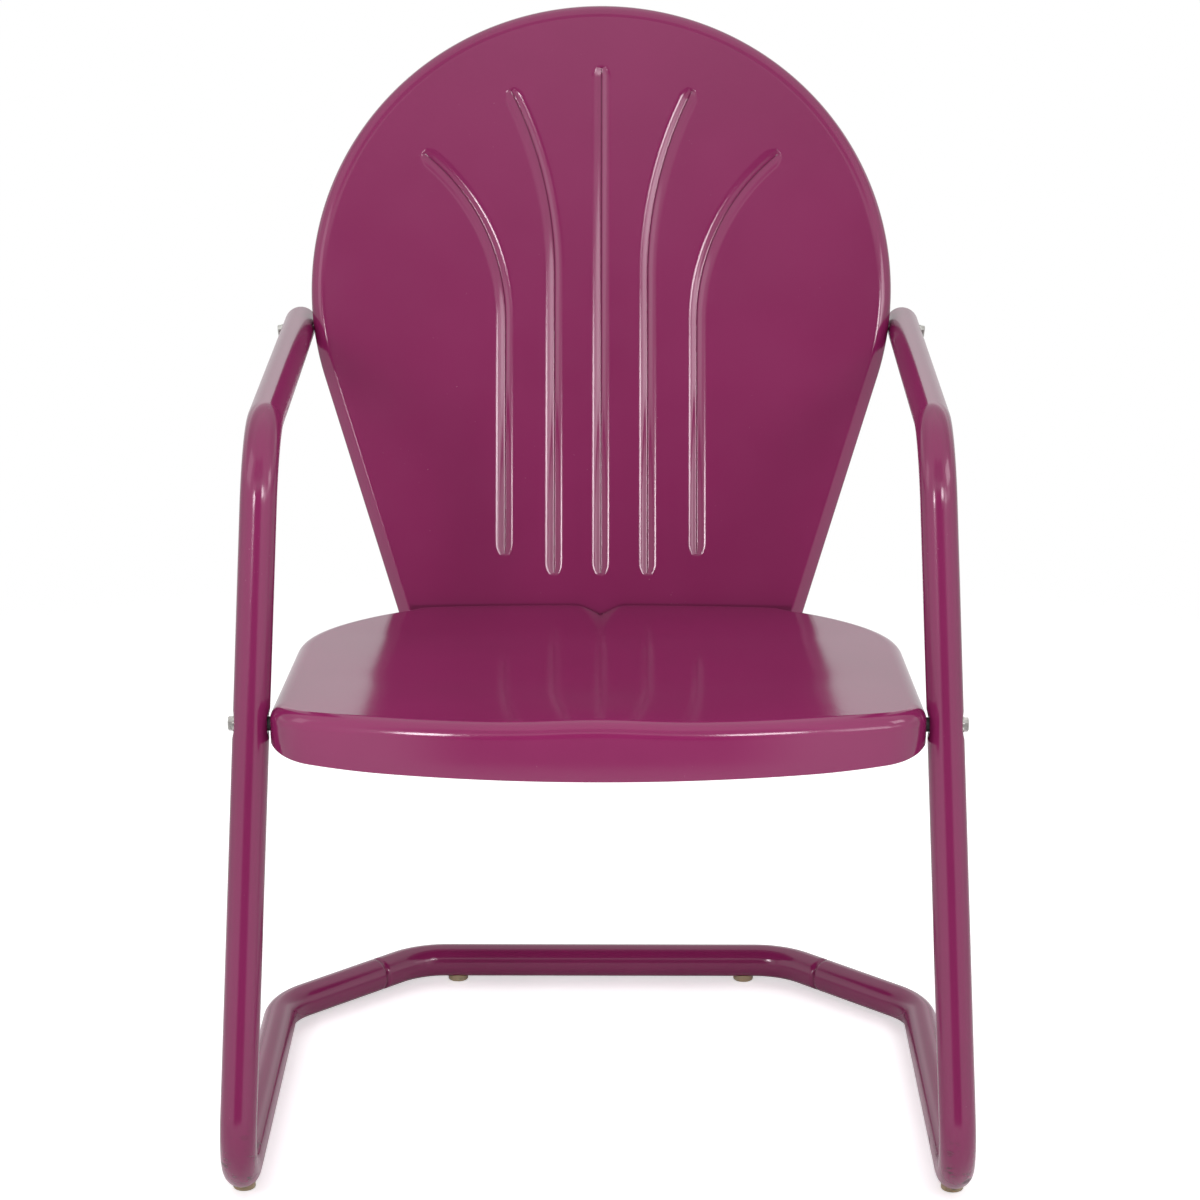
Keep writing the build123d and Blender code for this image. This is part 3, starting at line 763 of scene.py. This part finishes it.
# Tube drawn along a line of points, each with its own radius, and pressed flat at up to two bolts
def tubeTree(pressFlat):
    inputs = [("Geometry", "Geometry", None), ("Sides", "Int", sideFrame["sides"]),
              ("Flat Radius", "Float", sideFrame["flatRadius"]), ("Slope", "Float", sideFrame["flatSlope"]),
              ("Leg Bolt", "Vector", None), ("Leg Flat", "Float", sideFrame["noFlat"]),
              ("Arm Bolt", "Vector", None), ("Arm Axis", "Vector", None),
              ("Arm Flat", "Float", sideFrame["noFlat"]), ("Material", "Material", None)]
    tree, given, result = newGroup("bentTube", "GeometryNodeTree", inputs, [("Geometry", "Geometry")])
    given = given.outputs
    line = addNode(tree, "GeometryNodeMeshToCurve", {"Mesh": given["Geometry"]}).outputs[0]
    radius = addNode(tree, "GeometryNodeInputNamedAttribute", {"Name": "tubeRadius"}, data_type="FLOAT")
    ring = addNode(tree, "GeometryNodeCurvePrimitiveCircle", {"Resolution": given["Sides"], "Radius": 1.0})
    inputs = {"Curve": line, "Profile Curve": ring.outputs[0], "Scale": radius.outputs[0], "Fill Caps": True}
    tube = addNode(tree, "GeometryNodeCurveToMesh", inputs).outputs[0]
    common = {"Flat Radius": given["Flat Radius"], "Slope": given["Slope"]}
    leg = {"Geometry": tube, "Bolt Point": given["Leg Bolt"], "Bolt Axis": (1.0, 0.0, 0.0),
           "Outer Flat": given["Leg Flat"], "Inner Flat": given["Leg Flat"]}
    atLeg = addNode(tree, "GeometryNodeGroup", {**leg, **common}, node_tree=pressFlat)
    arm = {"Geometry": atLeg.outputs[0], "Bolt Point": given["Arm Bolt"], "Bolt Axis": given["Arm Axis"],
           "Outer Flat": given["Arm Flat"], "Inner Flat": sideFrame["noFlat"]}
    atArm = addNode(tree, "GeometryNodeGroup", {**arm, **common}, node_tree=pressFlat)
    soft = addNode(tree, "GeometryNodeSetShadeSmooth", {"Geometry": atArm.outputs[0]})
    real = addNode(tree, "GeometryNodeRealizeInstances", {"Geometry": soft.outputs[0]})
    inputs = {"Geometry": real.outputs[0], "Material": given["Material"]}
    coated = addNode(tree, "GeometryNodeSetMaterial", inputs)
    tree.links.new(coated.outputs[0], result.inputs[0])
    return tree


# Points of a bent line: straight runs joined by arcs, close enough together to stay round
def bentLine(corners, bends, arcPoints=120):
    corners = [np.array(c, dtype=float) for c in corners]
    line = [corners[0]]
    for before, corner, after, bend in zip(corners, corners[1:], corners[2:], bends):
        inWay = (corner - before) / np.linalg.norm(corner - before)
        outWay = (after - corner) / np.linalg.norm(after - corner)
        turn = math.acos(np.clip(np.dot(inWay, outWay), -1.0, 1.0))
        reach = bend * math.tan(turn / 2)
        sideWay = outWay - inWay * np.dot(inWay, outWay)
        sideWay = sideWay / np.linalg.norm(sideWay)
        start = corner - inWay * reach
        for part in np.linspace(0.0, 1.0, arcPoints):
            a = part * turn
            line.append(start + bend * (math.sin(a) * inWay + (1.0 - math.cos(a)) * sideWay))
    line.append(corners[-1])
    return np.array(line)


# The line in even steps, shorter ones near the bolts
def steppedLine(line, bolts):
    run = np.concatenate([[0.0], np.cumsum(np.linalg.norm(np.diff(line, axis=0), axis=1))])
    stops = [0.0]
    while stops[-1] < run[-1]:
        here = np.array([np.interp(stops[-1], run, line[:, k]) for k in range(3)])
        near = min([np.linalg.norm(here - bolt) for bolt in bolts], default=1.0)
        step = sideFrame["boltStep"] if near < sideFrame["boltReach"] else sideFrame["runStep"]
        stops.append(stops[-1] + step)
    stops[-1] = run[-1]
    return np.stack([np.interp(stops, run, line[:, k]) for k in range(3)], axis=1)


def linePiece(name, points, radii):
    mesh = bpy.data.meshes.new(name)
    mesh.from_pydata(points.tolist(), [(i, i + 1) for i in range(len(points) - 1)], [])
    values = mesh.attributes.new("tubeRadius", "FLOAT", "POINT")
    values.data.foreach_set("value", [float(r) for r in radii])
    piece = bpy.data.objects.new(name, mesh)
    scene.collection.objects.link(piece)
    return piece


def plainMesh(piece):
    bpy.context.view_layer.update()
    evaluated = piece.evaluated_get(bpy.context.evaluated_depsgraph_get())
    mesh = bpy.data.meshes.new_from_object(evaluated)
    piece.modifiers.clear()
    old = piece.data
    piece.data = mesh
    bpy.data.meshes.remove(old)
    mesh.name = piece.name


def drawTube(name, points, radii, tree, material, legBolt=None, armBolt=None, armAxis=None):
    piece = linePiece(name, points, radii)
    modifier = piece.modifiers.new("bentTube", "NODES")
    modifier.node_group = tree
    ids = {item.name: item.identifier for item in tree.interface.items_tree if item.in_out == "INPUT"}
    modifier[ids["Sides"]] = sideFrame["sides"]
    modifier[ids["Flat Radius"]] = sideFrame["flatRadius"]
    modifier[ids["Slope"]] = sideFrame["flatSlope"]
    modifier[ids["Material"]] = material
    if legBolt is not None:
        modifier[ids["Leg Bolt"]] = [float(v) for v in legBolt]
        modifier[ids["Leg Flat"]] = sideFrame["legFlat"]
        modifier[ids["Arm Bolt"]] = [float(v) for v in armBolt]
        modifier[ids["Arm Axis"]] = [float(v) for v in armAxis]
        modifier[ids["Arm Flat"]] = sideFrame["armFlat"]
    plainMesh(piece)
    print(name, "made:", len(piece.data.polygons), "faces")
    return piece


# Ends a line of points at a seam, with the chamfer of two tubes that meet there
def seamEnd(line):
    radius = sideFrame["tubeRadius"]
    chamfer = sideFrame["seamChamfer"]
    end = line[-1]
    way = (end - line[-2]) / np.linalg.norm(end - line[-2])
    room = chamfer * 1.5
    farAway = 0.05
    body = [p for p in line[:-1] if np.dot(end - p, way) > room or np.linalg.norm(end - p) > farAway]
    return body + [end - way * chamfer, end], [radius] * (len(body) + 1) + [radius - chamfer]


def makeTubes(material):
    tree = tubeTree(pressFlatGroup())
    radius = sideFrame["tubeRadius"]
    legPoint = np.array(sideFrame["legBolt"])
    splay = math.tan(math.radians(sideFrame["legSplay"]))
    slant = math.tan(math.radians(sideFrame["legSlant"]))
    rise = np.array([-splay, slant, 1.0])
    tilt = math.asin((backShell["topCentre"] - sideFrame["armBoltRise"]) / backShell["topRadius"])
    boltU = backShell["topRadius"] * math.cos(tilt)
    rim = toRow(boltU, sideFrame["armBoltRise"], panelFront(boltU) - sideFrame["armBoltSetback"])
    axis = np.array([math.cos(tilt), -math.sin(tilt) * math.sin(lean), -math.sin(tilt) * math.cos(lean)])
    armPoint = rim + axis * (radius + sideFrame["armGap"])
    floor = sideFrame["floorLine"]
    armCorner = legPoint + rise * (sideFrame["armCornerHeight"] - legPoint[2])
    footCorner = legPoint + rise * (floor - legPoint[2])
    armWay = (armPoint - armCorner) / np.linalg.norm(armPoint - armCorner)
    armEnd = armPoint + armWay * sideFrame["armTail"]
    runnerCorner = np.array([*sideFrame["runnerCorner"], floor])
    barCorner = np.array([*sideFrame["crossbarCorner"], floor])
    seamWay = (barCorner - runnerCorner) / np.linalg.norm(barCorner - runnerCorner)
    seam = runnerCorner + seamWay * sideFrame["seam"]
    line = bentLine([armEnd, armCorner, footCorner, runnerCorner, seam], sideFrame["bends"])
    line = steppedLine(line, [legPoint, armPoint])
    points, radii = seamEnd(line)
    dome = np.radians(np.linspace(*sideFrame["dome"]))
    points = [armEnd + armWay * radius * math.sin(a) for a in dome] + points
    radii = [radius * math.cos(a) for a in dome] + radii
    points = np.array(points)
    tubes = {}
    for name, flip in (("rightSideFrame", 1.0), ("leftSideFrame", -1.0)):
        turn = np.array([flip, 1.0, 1.0])
        bolts = (legPoint * turn, armPoint * turn, axis * turn)
        tubes[name] = drawTube(name, points * turn, radii, tree, material, *bolts)
    mirror = np.array([-1.0, 1.0, 1.0])
    bar = bentLine([seam * mirror, barCorner * mirror, barCorner, seam], (sideFrame["bends"][2],) * 2)
    oneEnd = seamEnd(steppedLine(bar, []))[0]
    bothEnds, radii = seamEnd(np.array(oneEnd[::-1]))
    radii[0] = radii[-1]
    tubes["rearCrossbar"] = drawTube("rearCrossbar", np.array(bothEnds), radii, tree, material)
    return tubes


# Shader groups
def orangePeelGroup():
    inputs = [("Vector", "Vector", None), ("Scale", "Float", 260.0), ("Wave Scale", "Float", 34.0),
              ("Wave", "Float", 0.05)]
    tree, given, result = newGroup("orangePeel", "ShaderNodeTree", inputs, [("Height", "Float")])
    given = given.outputs
    fine = noise(tree, given["Vector"], given["Scale"], 1.0)
    wave = noise(tree, given["Vector"], given["Wave Scale"], 1.0)
    height = maths(tree, "ADD", fine, maths(tree, "MULTIPLY", wave, given["Wave"]))
    tree.links.new(height, result.inputs["Height"])
    return tree


def paintDriftGroup():
    inputs = [("Vector", "Vector", None), ("Colour", "Color", None), ("Second Colour", "Color", None),
              ("Roughness", "Float", 0.16), ("Roughness Drift", "Float", 0.05), ("Scale", "Float", 7.0)]
    outputs = [("Colour", "Color"), ("Roughness", "Float")]
    tree, given, result = newGroup("paintDrift", "ShaderNodeTree", inputs, outputs)
    given = given.outputs
    wide = remap(tree, noise(tree, given["Vector"], given["Scale"], 3.0), 0.3, 0.7)
    smear = noise(tree, given["Vector"], maths(tree, "MULTIPLY", given["Scale"], 4.0), 5.0, 0.6)
    smear = maths(tree, "SUBTRACT", smear, 0.5)
    rough = maths(tree, "MULTIPLY_ADD", smear, given["Roughness Drift"], given["Roughness"])
    tree.links.new(mixColour(tree, wide, given["Colour"], given["Second Colour"]), result.inputs["Colour"])
    tree.links.new(rough, result.inputs["Roughness"])
    return tree


scuffs = {                  # noise scale, and the noise value where the marks begin and are full
    "marks": (70.0, 0.57, 0.65),
    "specks": (420.0, 0.735, 0.78),
    "speckPatches": (18.0, 0.5, 0.66),
    "stretch": (1.0, 0.6, 2.2),
}


# Worn marks low on the tubes, and fine dust specks, as one mask each
def scuffGroup():
    inputs = [("Vector", "Vector", None), ("Top", "Float", 0.09), ("Bottom", "Float", 0.02),
              ("Behind", "Float", -0.23), ("Amount", "Float", 0.5)]
    outputs = [("Scuff", "Float"), ("Speck", "Float")]
    tree, given, result = newGroup("scuffMarks", "ShaderNodeTree", inputs, outputs)
    given = given.outputs
    _, behind, height = addNode(tree, "ShaderNodeSeparateXYZ", {0: given["Vector"]}).outputs
    inFront = maths(tree, "LESS_THAN", behind, given["Behind"])
    low = maths(tree, "MULTIPLY", remap(tree, height, given["Top"], given["Bottom"]), inFront)
    stretched = vectorMaths(tree, "MULTIPLY", given["Vector"], scuffs["stretch"])
    scale, start, full = scuffs["marks"]
    marks = remap(tree, noise(tree, stretched, scale, 6.0, 0.62), start, full)
    scuff = maths(tree, "MULTIPLY", maths(tree, "MULTIPLY", marks, low), given["Amount"])
    scale, start, full = scuffs["specks"]
    speck = remap(tree, noise(tree, given["Vector"], scale, 2.0), start, full)
    scale, start, full = scuffs["speckPatches"]
    rare = remap(tree, noise(tree, given["Vector"], scale, 2.0), start, full)
    tree.links.new(scuff, result.inputs["Scuff"])
    tree.links.new(maths(tree, "MULTIPLY", speck, rare), result.inputs["Speck"])
    return tree


def platedGroup():
    inputs = [("Vector", "Vector", None), ("Bright", "Color", None), ("Dull", "Color", None),
              ("Stain", "Color", None)]
    outputs = [("Colour", "Color"), ("Roughness", "Float"), ("Height", "Float")]
    tree, given, result = newGroup("platedMetal", "ShaderNodeTree", inputs, outputs)
    given = given.outputs
    cloud = noise(tree, given["Vector"], 160.0, 4.0, 0.6)
    spot = remap(tree, noise(tree, given["Vector"], 420.0, 3.0), 0.58, 0.72)
    colour = mixColour(tree, remap(tree, cloud, 0.35, 0.65), given["Bright"], given["Dull"])
    colour = mixColour(tree, maths(tree, "MULTIPLY", spot, 0.5), colour, given["Stain"])
    tree.links.new(colour, result.inputs["Colour"])
    tree.links.new(remap(tree, cloud, 0.3, 0.7, 0.22, 0.38, "LINEAR"), result.inputs["Roughness"])
    tree.links.new(noise(tree, given["Vector"], 900.0, 3.0), result.inputs["Height"])
    return tree


groups = {"peel": orangePeelGroup(), "drift": paintDriftGroup(), "scuff": scuffGroup(),
          "plate": platedGroup()}


def useGroup(tree, group, inputs):
    return addNode(tree, "ShaderNodeGroup", inputs, node_tree=group).outputs


def newMaterial(name):
    material = bpy.data.materials.new(name)
    material.use_nodes = True
    tree = material.node_tree
    shader = tree.nodes["Principled BSDF"]
    place = addNode(tree, "ShaderNodeTexCoord").outputs["Object"]
    return material, tree, shader, place


def bumpTo(tree, shader, height, strength, distance):
    bump = addNode(tree, "ShaderNodeBump", {"Height": height, "Strength": strength, "Distance": distance})
    tree.links.new(bump.outputs[0], shader.inputs["Normal"])


enamel = {
    "colour": (0.186, 0.0126, 0.076, 1.0),
    "secondColour": (0.200, 0.0140, 0.083, 1.0),
    "tubeShade": 0.86,      # the tubes' enamel colour is this share of the sheet's
    "scuffColour": (0.03, 0.012, 0.018, 1.0),
    # colour of the painted shade in the sheet's groove creases, seams and drain dip
    "dirtAndShadeColour": (0.060, 0.003, 0.022, 1.0),
    "speckColour": (0.42, 0.20, 0.28, 1.0),
    "sheetScuffs": 0.0,
    "tubeScuffs": 0.85,
    "specks": 0.35,
    "roughness": 0.125,
    "tubeRoughness": 0.165,
    "roughnessDrift": 0.06,
    "scuffRoughness": 0.3,
    "speckRoughness": 0.1,
    "peelStrength": 0.045,
    "peelDepth": 0.0004,
}


def enamelMaterial(name, shade, roughness, scuffAmount):
    material, tree, shader, place = newMaterial(name)
    first, second = ([c * shade for c in enamel[key][:3]] + [1.0] for key in ("colour", "secondColour"))
    drift = {"Vector": place, "Colour": first, "Second Colour": second,
             "Roughness": roughness, "Roughness Drift": enamel["roughnessDrift"]}
    paint = useGroup(tree, groups["drift"], drift)
    marks = useGroup(tree, groups["scuff"], {"Vector": place, "Amount": scuffAmount})
    colour = mixColour(tree, marks["Scuff"], paint["Colour"], enamel["scuffColour"])
    specks = maths(tree, "MULTIPLY", marks["Speck"], enamel["specks"])
    colour = mixColour(tree, specks, colour, enamel["speckColour"])
    # Painted shade: the sheet's attribute darkens the colour in the groove creases, the seams and the drain
    # dip
    dirtAndShade = addNode(tree, "ShaderNodeAttribute", attribute_name="dirtAndShade").outputs["Fac"]
    colour = mixColour(tree, dirtAndShade, colour, enamel["dirtAndShadeColour"])
    tree.links.new(colour, shader.inputs["Base Color"])
    rough = maths(tree, "MULTIPLY_ADD", marks["Scuff"], enamel["scuffRoughness"], paint["Roughness"])
    rough = maths(tree, "MULTIPLY_ADD", marks["Speck"], enamel["speckRoughness"], rough)
    tree.links.new(rough, shader.inputs["Roughness"])
    peel = useGroup(tree, groups["peel"], {"Vector": place})
    bumpTo(tree, shader, peel["Height"], enamel["peelStrength"], enamel["peelDepth"])
    return material


plating = {
    "bright": (0.60, 0.59, 0.56, 1.0),
    "dull": (0.40, 0.39, 0.37, 1.0),
    "stain": (0.20, 0.15, 0.11, 1.0),
    "bump": (0.15, 0.0002),
}


def platedMaterial():
    material, tree, shader, place = newMaterial("platedSteel")
    inputs = {"Vector": place, "Bright": plating["bright"], "Dull": plating["dull"],
              "Stain": plating["stain"]}
    plate = useGroup(tree, groups["plate"], inputs)
    tree.links.new(plate["Colour"], shader.inputs["Base Color"])
    tree.links.new(plate["Roughness"], shader.inputs["Roughness"])
    shader.inputs["Metallic"].default_value = 1.0
    bumpTo(tree, shader, plate["Height"], *plating["bump"])
    return material


amber = {
    "colour": (0.54, 0.45, 0.28, 1.0),
    "secondColour": (0.43, 0.34, 0.19, 1.0),
    "dirtAndShadeColour": (0.10, 0.07, 0.04, 1.0),
    "dirtAndShade": 0.6,
    "dirtBelow": 0.006,
    "transmission": 0.35,
    "subsurface": (0.2, 0.003),
    "roughness": (0.32, 0.15),      # level and drift
    "scale": 60.0,
    "peelScale": 700.0,
    "bump": (0.15, 0.0003),
}


def amberMaterial():
    material, tree, shader, place = newMaterial("amberPlastic")
    level, spread = amber["roughness"]
    drift = {"Vector": place, "Colour": amber["colour"], "Second Colour": amber["secondColour"],
             "Roughness": level, "Roughness Drift": spread, "Scale": amber["scale"]}
    resin = useGroup(tree, groups["drift"], drift)
    inputs = {"Vector": place, "Top": amber["dirtBelow"], "Bottom": 0.0, "Behind": 1.0,
              "Amount": amber["dirtAndShade"]}
    marks = useGroup(tree, groups["scuff"], inputs)
    dirty = mixColour(tree, marks["Scuff"], resin["Colour"], amber["dirtAndShadeColour"])
    tree.links.new(dirty, shader.inputs["Base Color"])
    tree.links.new(resin["Roughness"], shader.inputs["Roughness"])
    shader.inputs["Transmission Weight"].default_value = amber["transmission"]
    shader.inputs["Subsurface Weight"].default_value = amber["subsurface"][0]
    shader.inputs["Subsurface Scale"].default_value = amber["subsurface"][1]
    peel = useGroup(tree, groups["peel"], {"Vector": place, "Scale": amber["peelScale"]})
    bumpTo(tree, shader, peel["Height"], *amber["bump"])
    return material


black = {
    "colour": (0.004, 0.004, 0.0045, 1.0),
    "secondColour": (0.009, 0.0085, 0.008, 1.0),
    "roughness": (0.6, 0.2),        # level and drift
    "scale": 80.0,
    "peelScale": 900.0,
    "bump": (0.2, 0.0003),
}


def blackMaterial():
    material, tree, shader, place = newMaterial("blackPlastic")
    level, spread = black["roughness"]
    drift = {"Vector": place, "Colour": black["colour"], "Second Colour": black["secondColour"],
             "Roughness": level, "Roughness Drift": spread, "Scale": black["scale"]}
    resin = useGroup(tree, groups["drift"], drift)
    tree.links.new(resin["Colour"], shader.inputs["Base Color"])
    tree.links.new(resin["Roughness"], shader.inputs["Roughness"])
    peel = useGroup(tree, groups["peel"], {"Vector": place, "Scale": black["peelScale"]})
    bumpTo(tree, shader, peel["Height"], *black["bump"])
    return material


sheetEnamel = enamelMaterial("sheetEnamel", 1.0, enamel["roughness"], enamel["sheetScuffs"])
tubeEnamel = enamelMaterial("tubeEnamel", enamel["tubeShade"], enamel["tubeRoughness"], enamel["tubeScuffs"])
slotMaterials = {"plated_steel": platedMaterial(), "glide": amberMaterial(), "spacer": blackMaterial()}
print("materials made")

backPiece = makeBackShell()
seatPiece = makeSeatPan()
for piece in (backPiece, seatPiece):
    piece.data.materials.append(sheetEnamel)
tubes = makeTubes(tubeEnamel)
standIns = [(backPiece, "back_shell"), (seatPiece, "seat_pan"), (tubes["leftSideFrame"], "left_side_frame"),
            (tubes["rightSideFrame"], "right_side_frame"), (tubes["rearCrossbar"], "rear_crossbar")]
for piece, node in standIns:
    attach(piece, "root")
    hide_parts(node)

for subpart in frame["record"]["subparts"]:
    material = slotMaterials.get(subpart["material_slot"])
    if material:
        node = nodes[subpart["node"]]
        node.data.materials.clear()
        node.data.materials.append(material)
print("bolts, spacers and glides coated")


# Studio: pale all round and dark straight ahead, with soft boxes and brighter lamp heads at the sides.
# The first brightnesses are those seen in the paint, and the bands are elevations or azimuths in radians.
studio = {
    "rearLow": 0.78,        # behind the chair, near the floor line
    "rearHigh": 1.25,       # a little higher
    "rearTop": 0.78,        # and above that
    "rearBand": (0.10, 0.28),
    "rearTopBand": (0.29, 0.40),
    "rearAzimuth": (75.0, 115.0),
    "frontSide": 1.25,
    "frontDark": 0.10,
    "frontLow": 0.36,
    "frontLowBand": (-0.14, 0.0),
    "frontHigh": 0.48,      # a gap between the front and the overhead
    "frontHighBand": (0.58, 0.68, 1.0, 1.15),
    "frontHighAside": (0.5, 0.8),
    "overhead": 1.15,
    "overheadBand": (0.6, 1.0),
    "darkAzimuth": (17.0, 32.0),
    "darkElevation": (23.5, 31.0),
    "lightAbove": 1.12,     # soft light that falls on the chair from above, from the sides and from the floor
    "lightAside": 0.49,
    "lightBelow": 1.08,
    "lightRise": (0.0, 0.9),
    "lightFall": (0.0, -0.15),
    "aim": (0.0, 0.2, 0.55),
    "lampColour": (1.0, 0.92, 0.97),
    "lamps": {              # azimuth, elevation, distance, width, height, power
        "leftStrip": (-55.0, 24.5, 1.15, 0.40, 0.45, 0.75),
        "rightStrip": (55.0, 20.2, 1.10, 0.36, 0.25, 1.10),
        "front": (0.0, 26.0, 1.35, 1.0, 0.40, 3.7),
        "rightWash": (50.0, 14.0, 4.0, 2.2, 0.50, 5.6),
        "rightSoft": (38.5, 17.0, 4.0, 0.8, 0.9, 6.5),
        "leftHead": (-23.5, 13.8, 2.58, 0.28, 0.47, 11.0),
        "rightHead": (22.5, 19.2, 2.65, 0.46, 0.42, 10.5),
    },
    "onlySeen": ("leftStrip", "rightStrip", "rightWash", "rightSoft"),      # in the paint, not lighting it
    "onlyLight": ("front",),                                                # lighting it, not seen in it
    "floorRadius": 3.0,
    "floorFade": (0.75, 1.5),
    "floorLift": 0.46,
    "floorColour": (0.90, 0.90, 0.90, 1.0),
    "floorSecond": (0.93, 0.93, 0.93, 1.0),
    "floorRoughness": 0.9,
}


def makeWorld():
    world = bpy.data.worlds.new("studio")
    scene.world = world
    world.use_nodes = True
    tree = world.node_tree
    tree.nodes.clear()
    way = addNode(tree, "ShaderNodeTexCoord").outputs["Generated"]
    across, back, up = addNode(tree, "ShaderNodeSeparateXYZ", {0: way}).outputs
    turn = maths(tree, "ARCTAN2", maths(tree, "ABSOLUTE", across), maths(tree, "MULTIPLY", back, -1.0))
    rise = maths(tree, "ARCSINE", up)
    near, far = (math.radians(a) for a in studio["darkAzimuth"])
    low, high = (math.radians(a) for a in studio["darkElevation"])
    inAzimuth = remap(tree, turn, near, far, 1.0, 0.0)
    dark = maths(tree, "MULTIPLY", inAzimuth, remap(tree, rise, low, high, 1.0, 0.0))
    behind = remap(tree, rise, *studio["rearBand"], studio["rearLow"], studio["rearHigh"])
    behind = mixValue(tree, remap(tree, rise, *studio["rearTopBand"]), behind, studio["rearTop"])
    toRear = remap(tree, turn, *(math.radians(a) for a in studio["rearAzimuth"]))
    pale = mixValue(tree, toRear, studio["frontSide"], behind)
    pale = mixValue(tree, remap(tree, rise, *studio["overheadBand"]), pale, studio["overhead"])
    ahead = remap(tree, rise, *studio["frontLowBand"], studio["frontLow"], studio["frontDark"])
    level = mixValue(tree, dark, pale, ahead)
    low, lowFull, highFull, high = studio["frontHighBand"]
    below = remap(tree, rise, highFull, high, 1.0, 0.0)
    inBand = maths(tree, "MULTIPLY", remap(tree, rise, low, lowFull), below)
    gap = maths(tree, "MULTIPLY", inBand, remap(tree, turn, *studio["frontHighAside"], 1.0, 0.0))
    level = mixValue(tree, gap, level, studio["frontHigh"])
    above = remap(tree, up, *studio["lightRise"], studio["lightAside"], studio["lightAbove"])
    soft = mixValue(tree, remap(tree, up, *studio["lightFall"]), above, studio["lightBelow"])
    path = addNode(tree, "ShaderNodeLightPath").outputs
    seen = maths(tree, "MAXIMUM", path["Is Glossy Ray"], path["Is Transmission Ray"])
    strength = mixValue(tree, path["Is Camera Ray"], mixValue(tree, seen, soft, level), 1.0)
    sky = addNode(tree, "ShaderNodeBackground", {"Color": (1.0, 1.0, 1.0, 1.0), "Strength": strength})
    out = tree.nodes.new("ShaderNodeOutputWorld")
    tree.links.new(sky.outputs[0], out.inputs[0])


def makeLamp(name, azimuth, elevation, distance, width, height, power):
    light = bpy.data.lights.new(name, "AREA")
    light.shape = "RECTANGLE"
    light.size = width
    light.size_y = height
    light.energy = power
    light.color = studio["lampColour"]
    lamp = bpy.data.objects.new(name, light)
    a = math.radians(azimuth)
    e = math.radians(elevation)
    aim = Vector(studio["aim"])
    toLamp = Vector((math.sin(a) * math.cos(e), -math.cos(a) * math.cos(e), math.sin(e)))
    lamp.location = aim + distance * toLamp
    lamp.rotation_euler = (aim - lamp.location).to_track_quat("-Z", "Y").to_euler()
    lamp.visible_camera = False
    lamp.visible_diffuse = name not in studio["onlySeen"]
    lamp.visible_glossy = name not in studio["onlyLight"]
    scene.collection.objects.link(lamp)


def makeFloor():
    material, tree, shader, place = newMaterial("studioFloor")
    tint = noise(tree, place, 3.0, 2.0)
    tint = mixColour(tree, tint, studio["floorColour"], studio["floorSecond"])
    tree.links.new(tint, shader.inputs["Base Color"])
    shader.inputs["Roughness"].default_value = studio["floorRoughness"]
    shader.inputs["Specular IOR Level"].default_value = 0.0
    far = vectorMaths(tree, "LENGTH", place)
    shown = maths(tree, "SUBTRACT", 1.0, addNode(tree, "ShaderNodeNewGeometry").outputs["Backfacing"])
    shown = maths(tree, "MULTIPLY", remap(tree, far, *studio["floorFade"], 1.0, 0.0), shown)
    tree.links.new(shown, shader.inputs["Alpha"])
    shader.inputs["Emission Color"].default_value = (1.0, 1.0, 1.0, 1.0)
    path = addNode(tree, "ShaderNodeLightPath").outputs
    lift = maths(tree, "MULTIPLY", path["Is Camera Ray"], studio["floorLift"])
    tree.links.new(lift, shader.inputs["Emission Strength"])
    mesh = bpy.data.meshes.new("floor")
    r = studio["floorRadius"]
    mesh.from_pydata([(-r, -r, 0.0), (r, -r, 0.0), (r, r, 0.0), (-r, r, 0.0)], [], [(0, 1, 2, 3)])
    mesh.materials.append(material)
    piece = bpy.data.objects.new("floor", mesh)
    scene.collection.objects.link(piece)


makeWorld()
for name, values in studio["lamps"].items():
    makeLamp(name, *values)
makeFloor()

photoView = {
    "lens": 108.0,
    "sensor": 36.0,
    "shift": 0.0001,
    "place": (0.0138, -2.8325, 1.2096),
    "turn": (73.919, 0.0, 0.279),
}

view = bpy.data.cameras.new("view")
view.lens = photoView["lens"]
view.sensor_width = photoView["sensor"]
view.shift_x = photoView["shift"]
view.clip_end = 50.0
camera = bpy.data.objects.new("view", view)
camera.location = photoView["place"]
camera.rotation_euler = [math.radians(a) for a in photoView["turn"]]
scene.collection.objects.link(camera)
scene.camera = camera
scene.view_settings.view_transform = "Standard"
print("studio set")
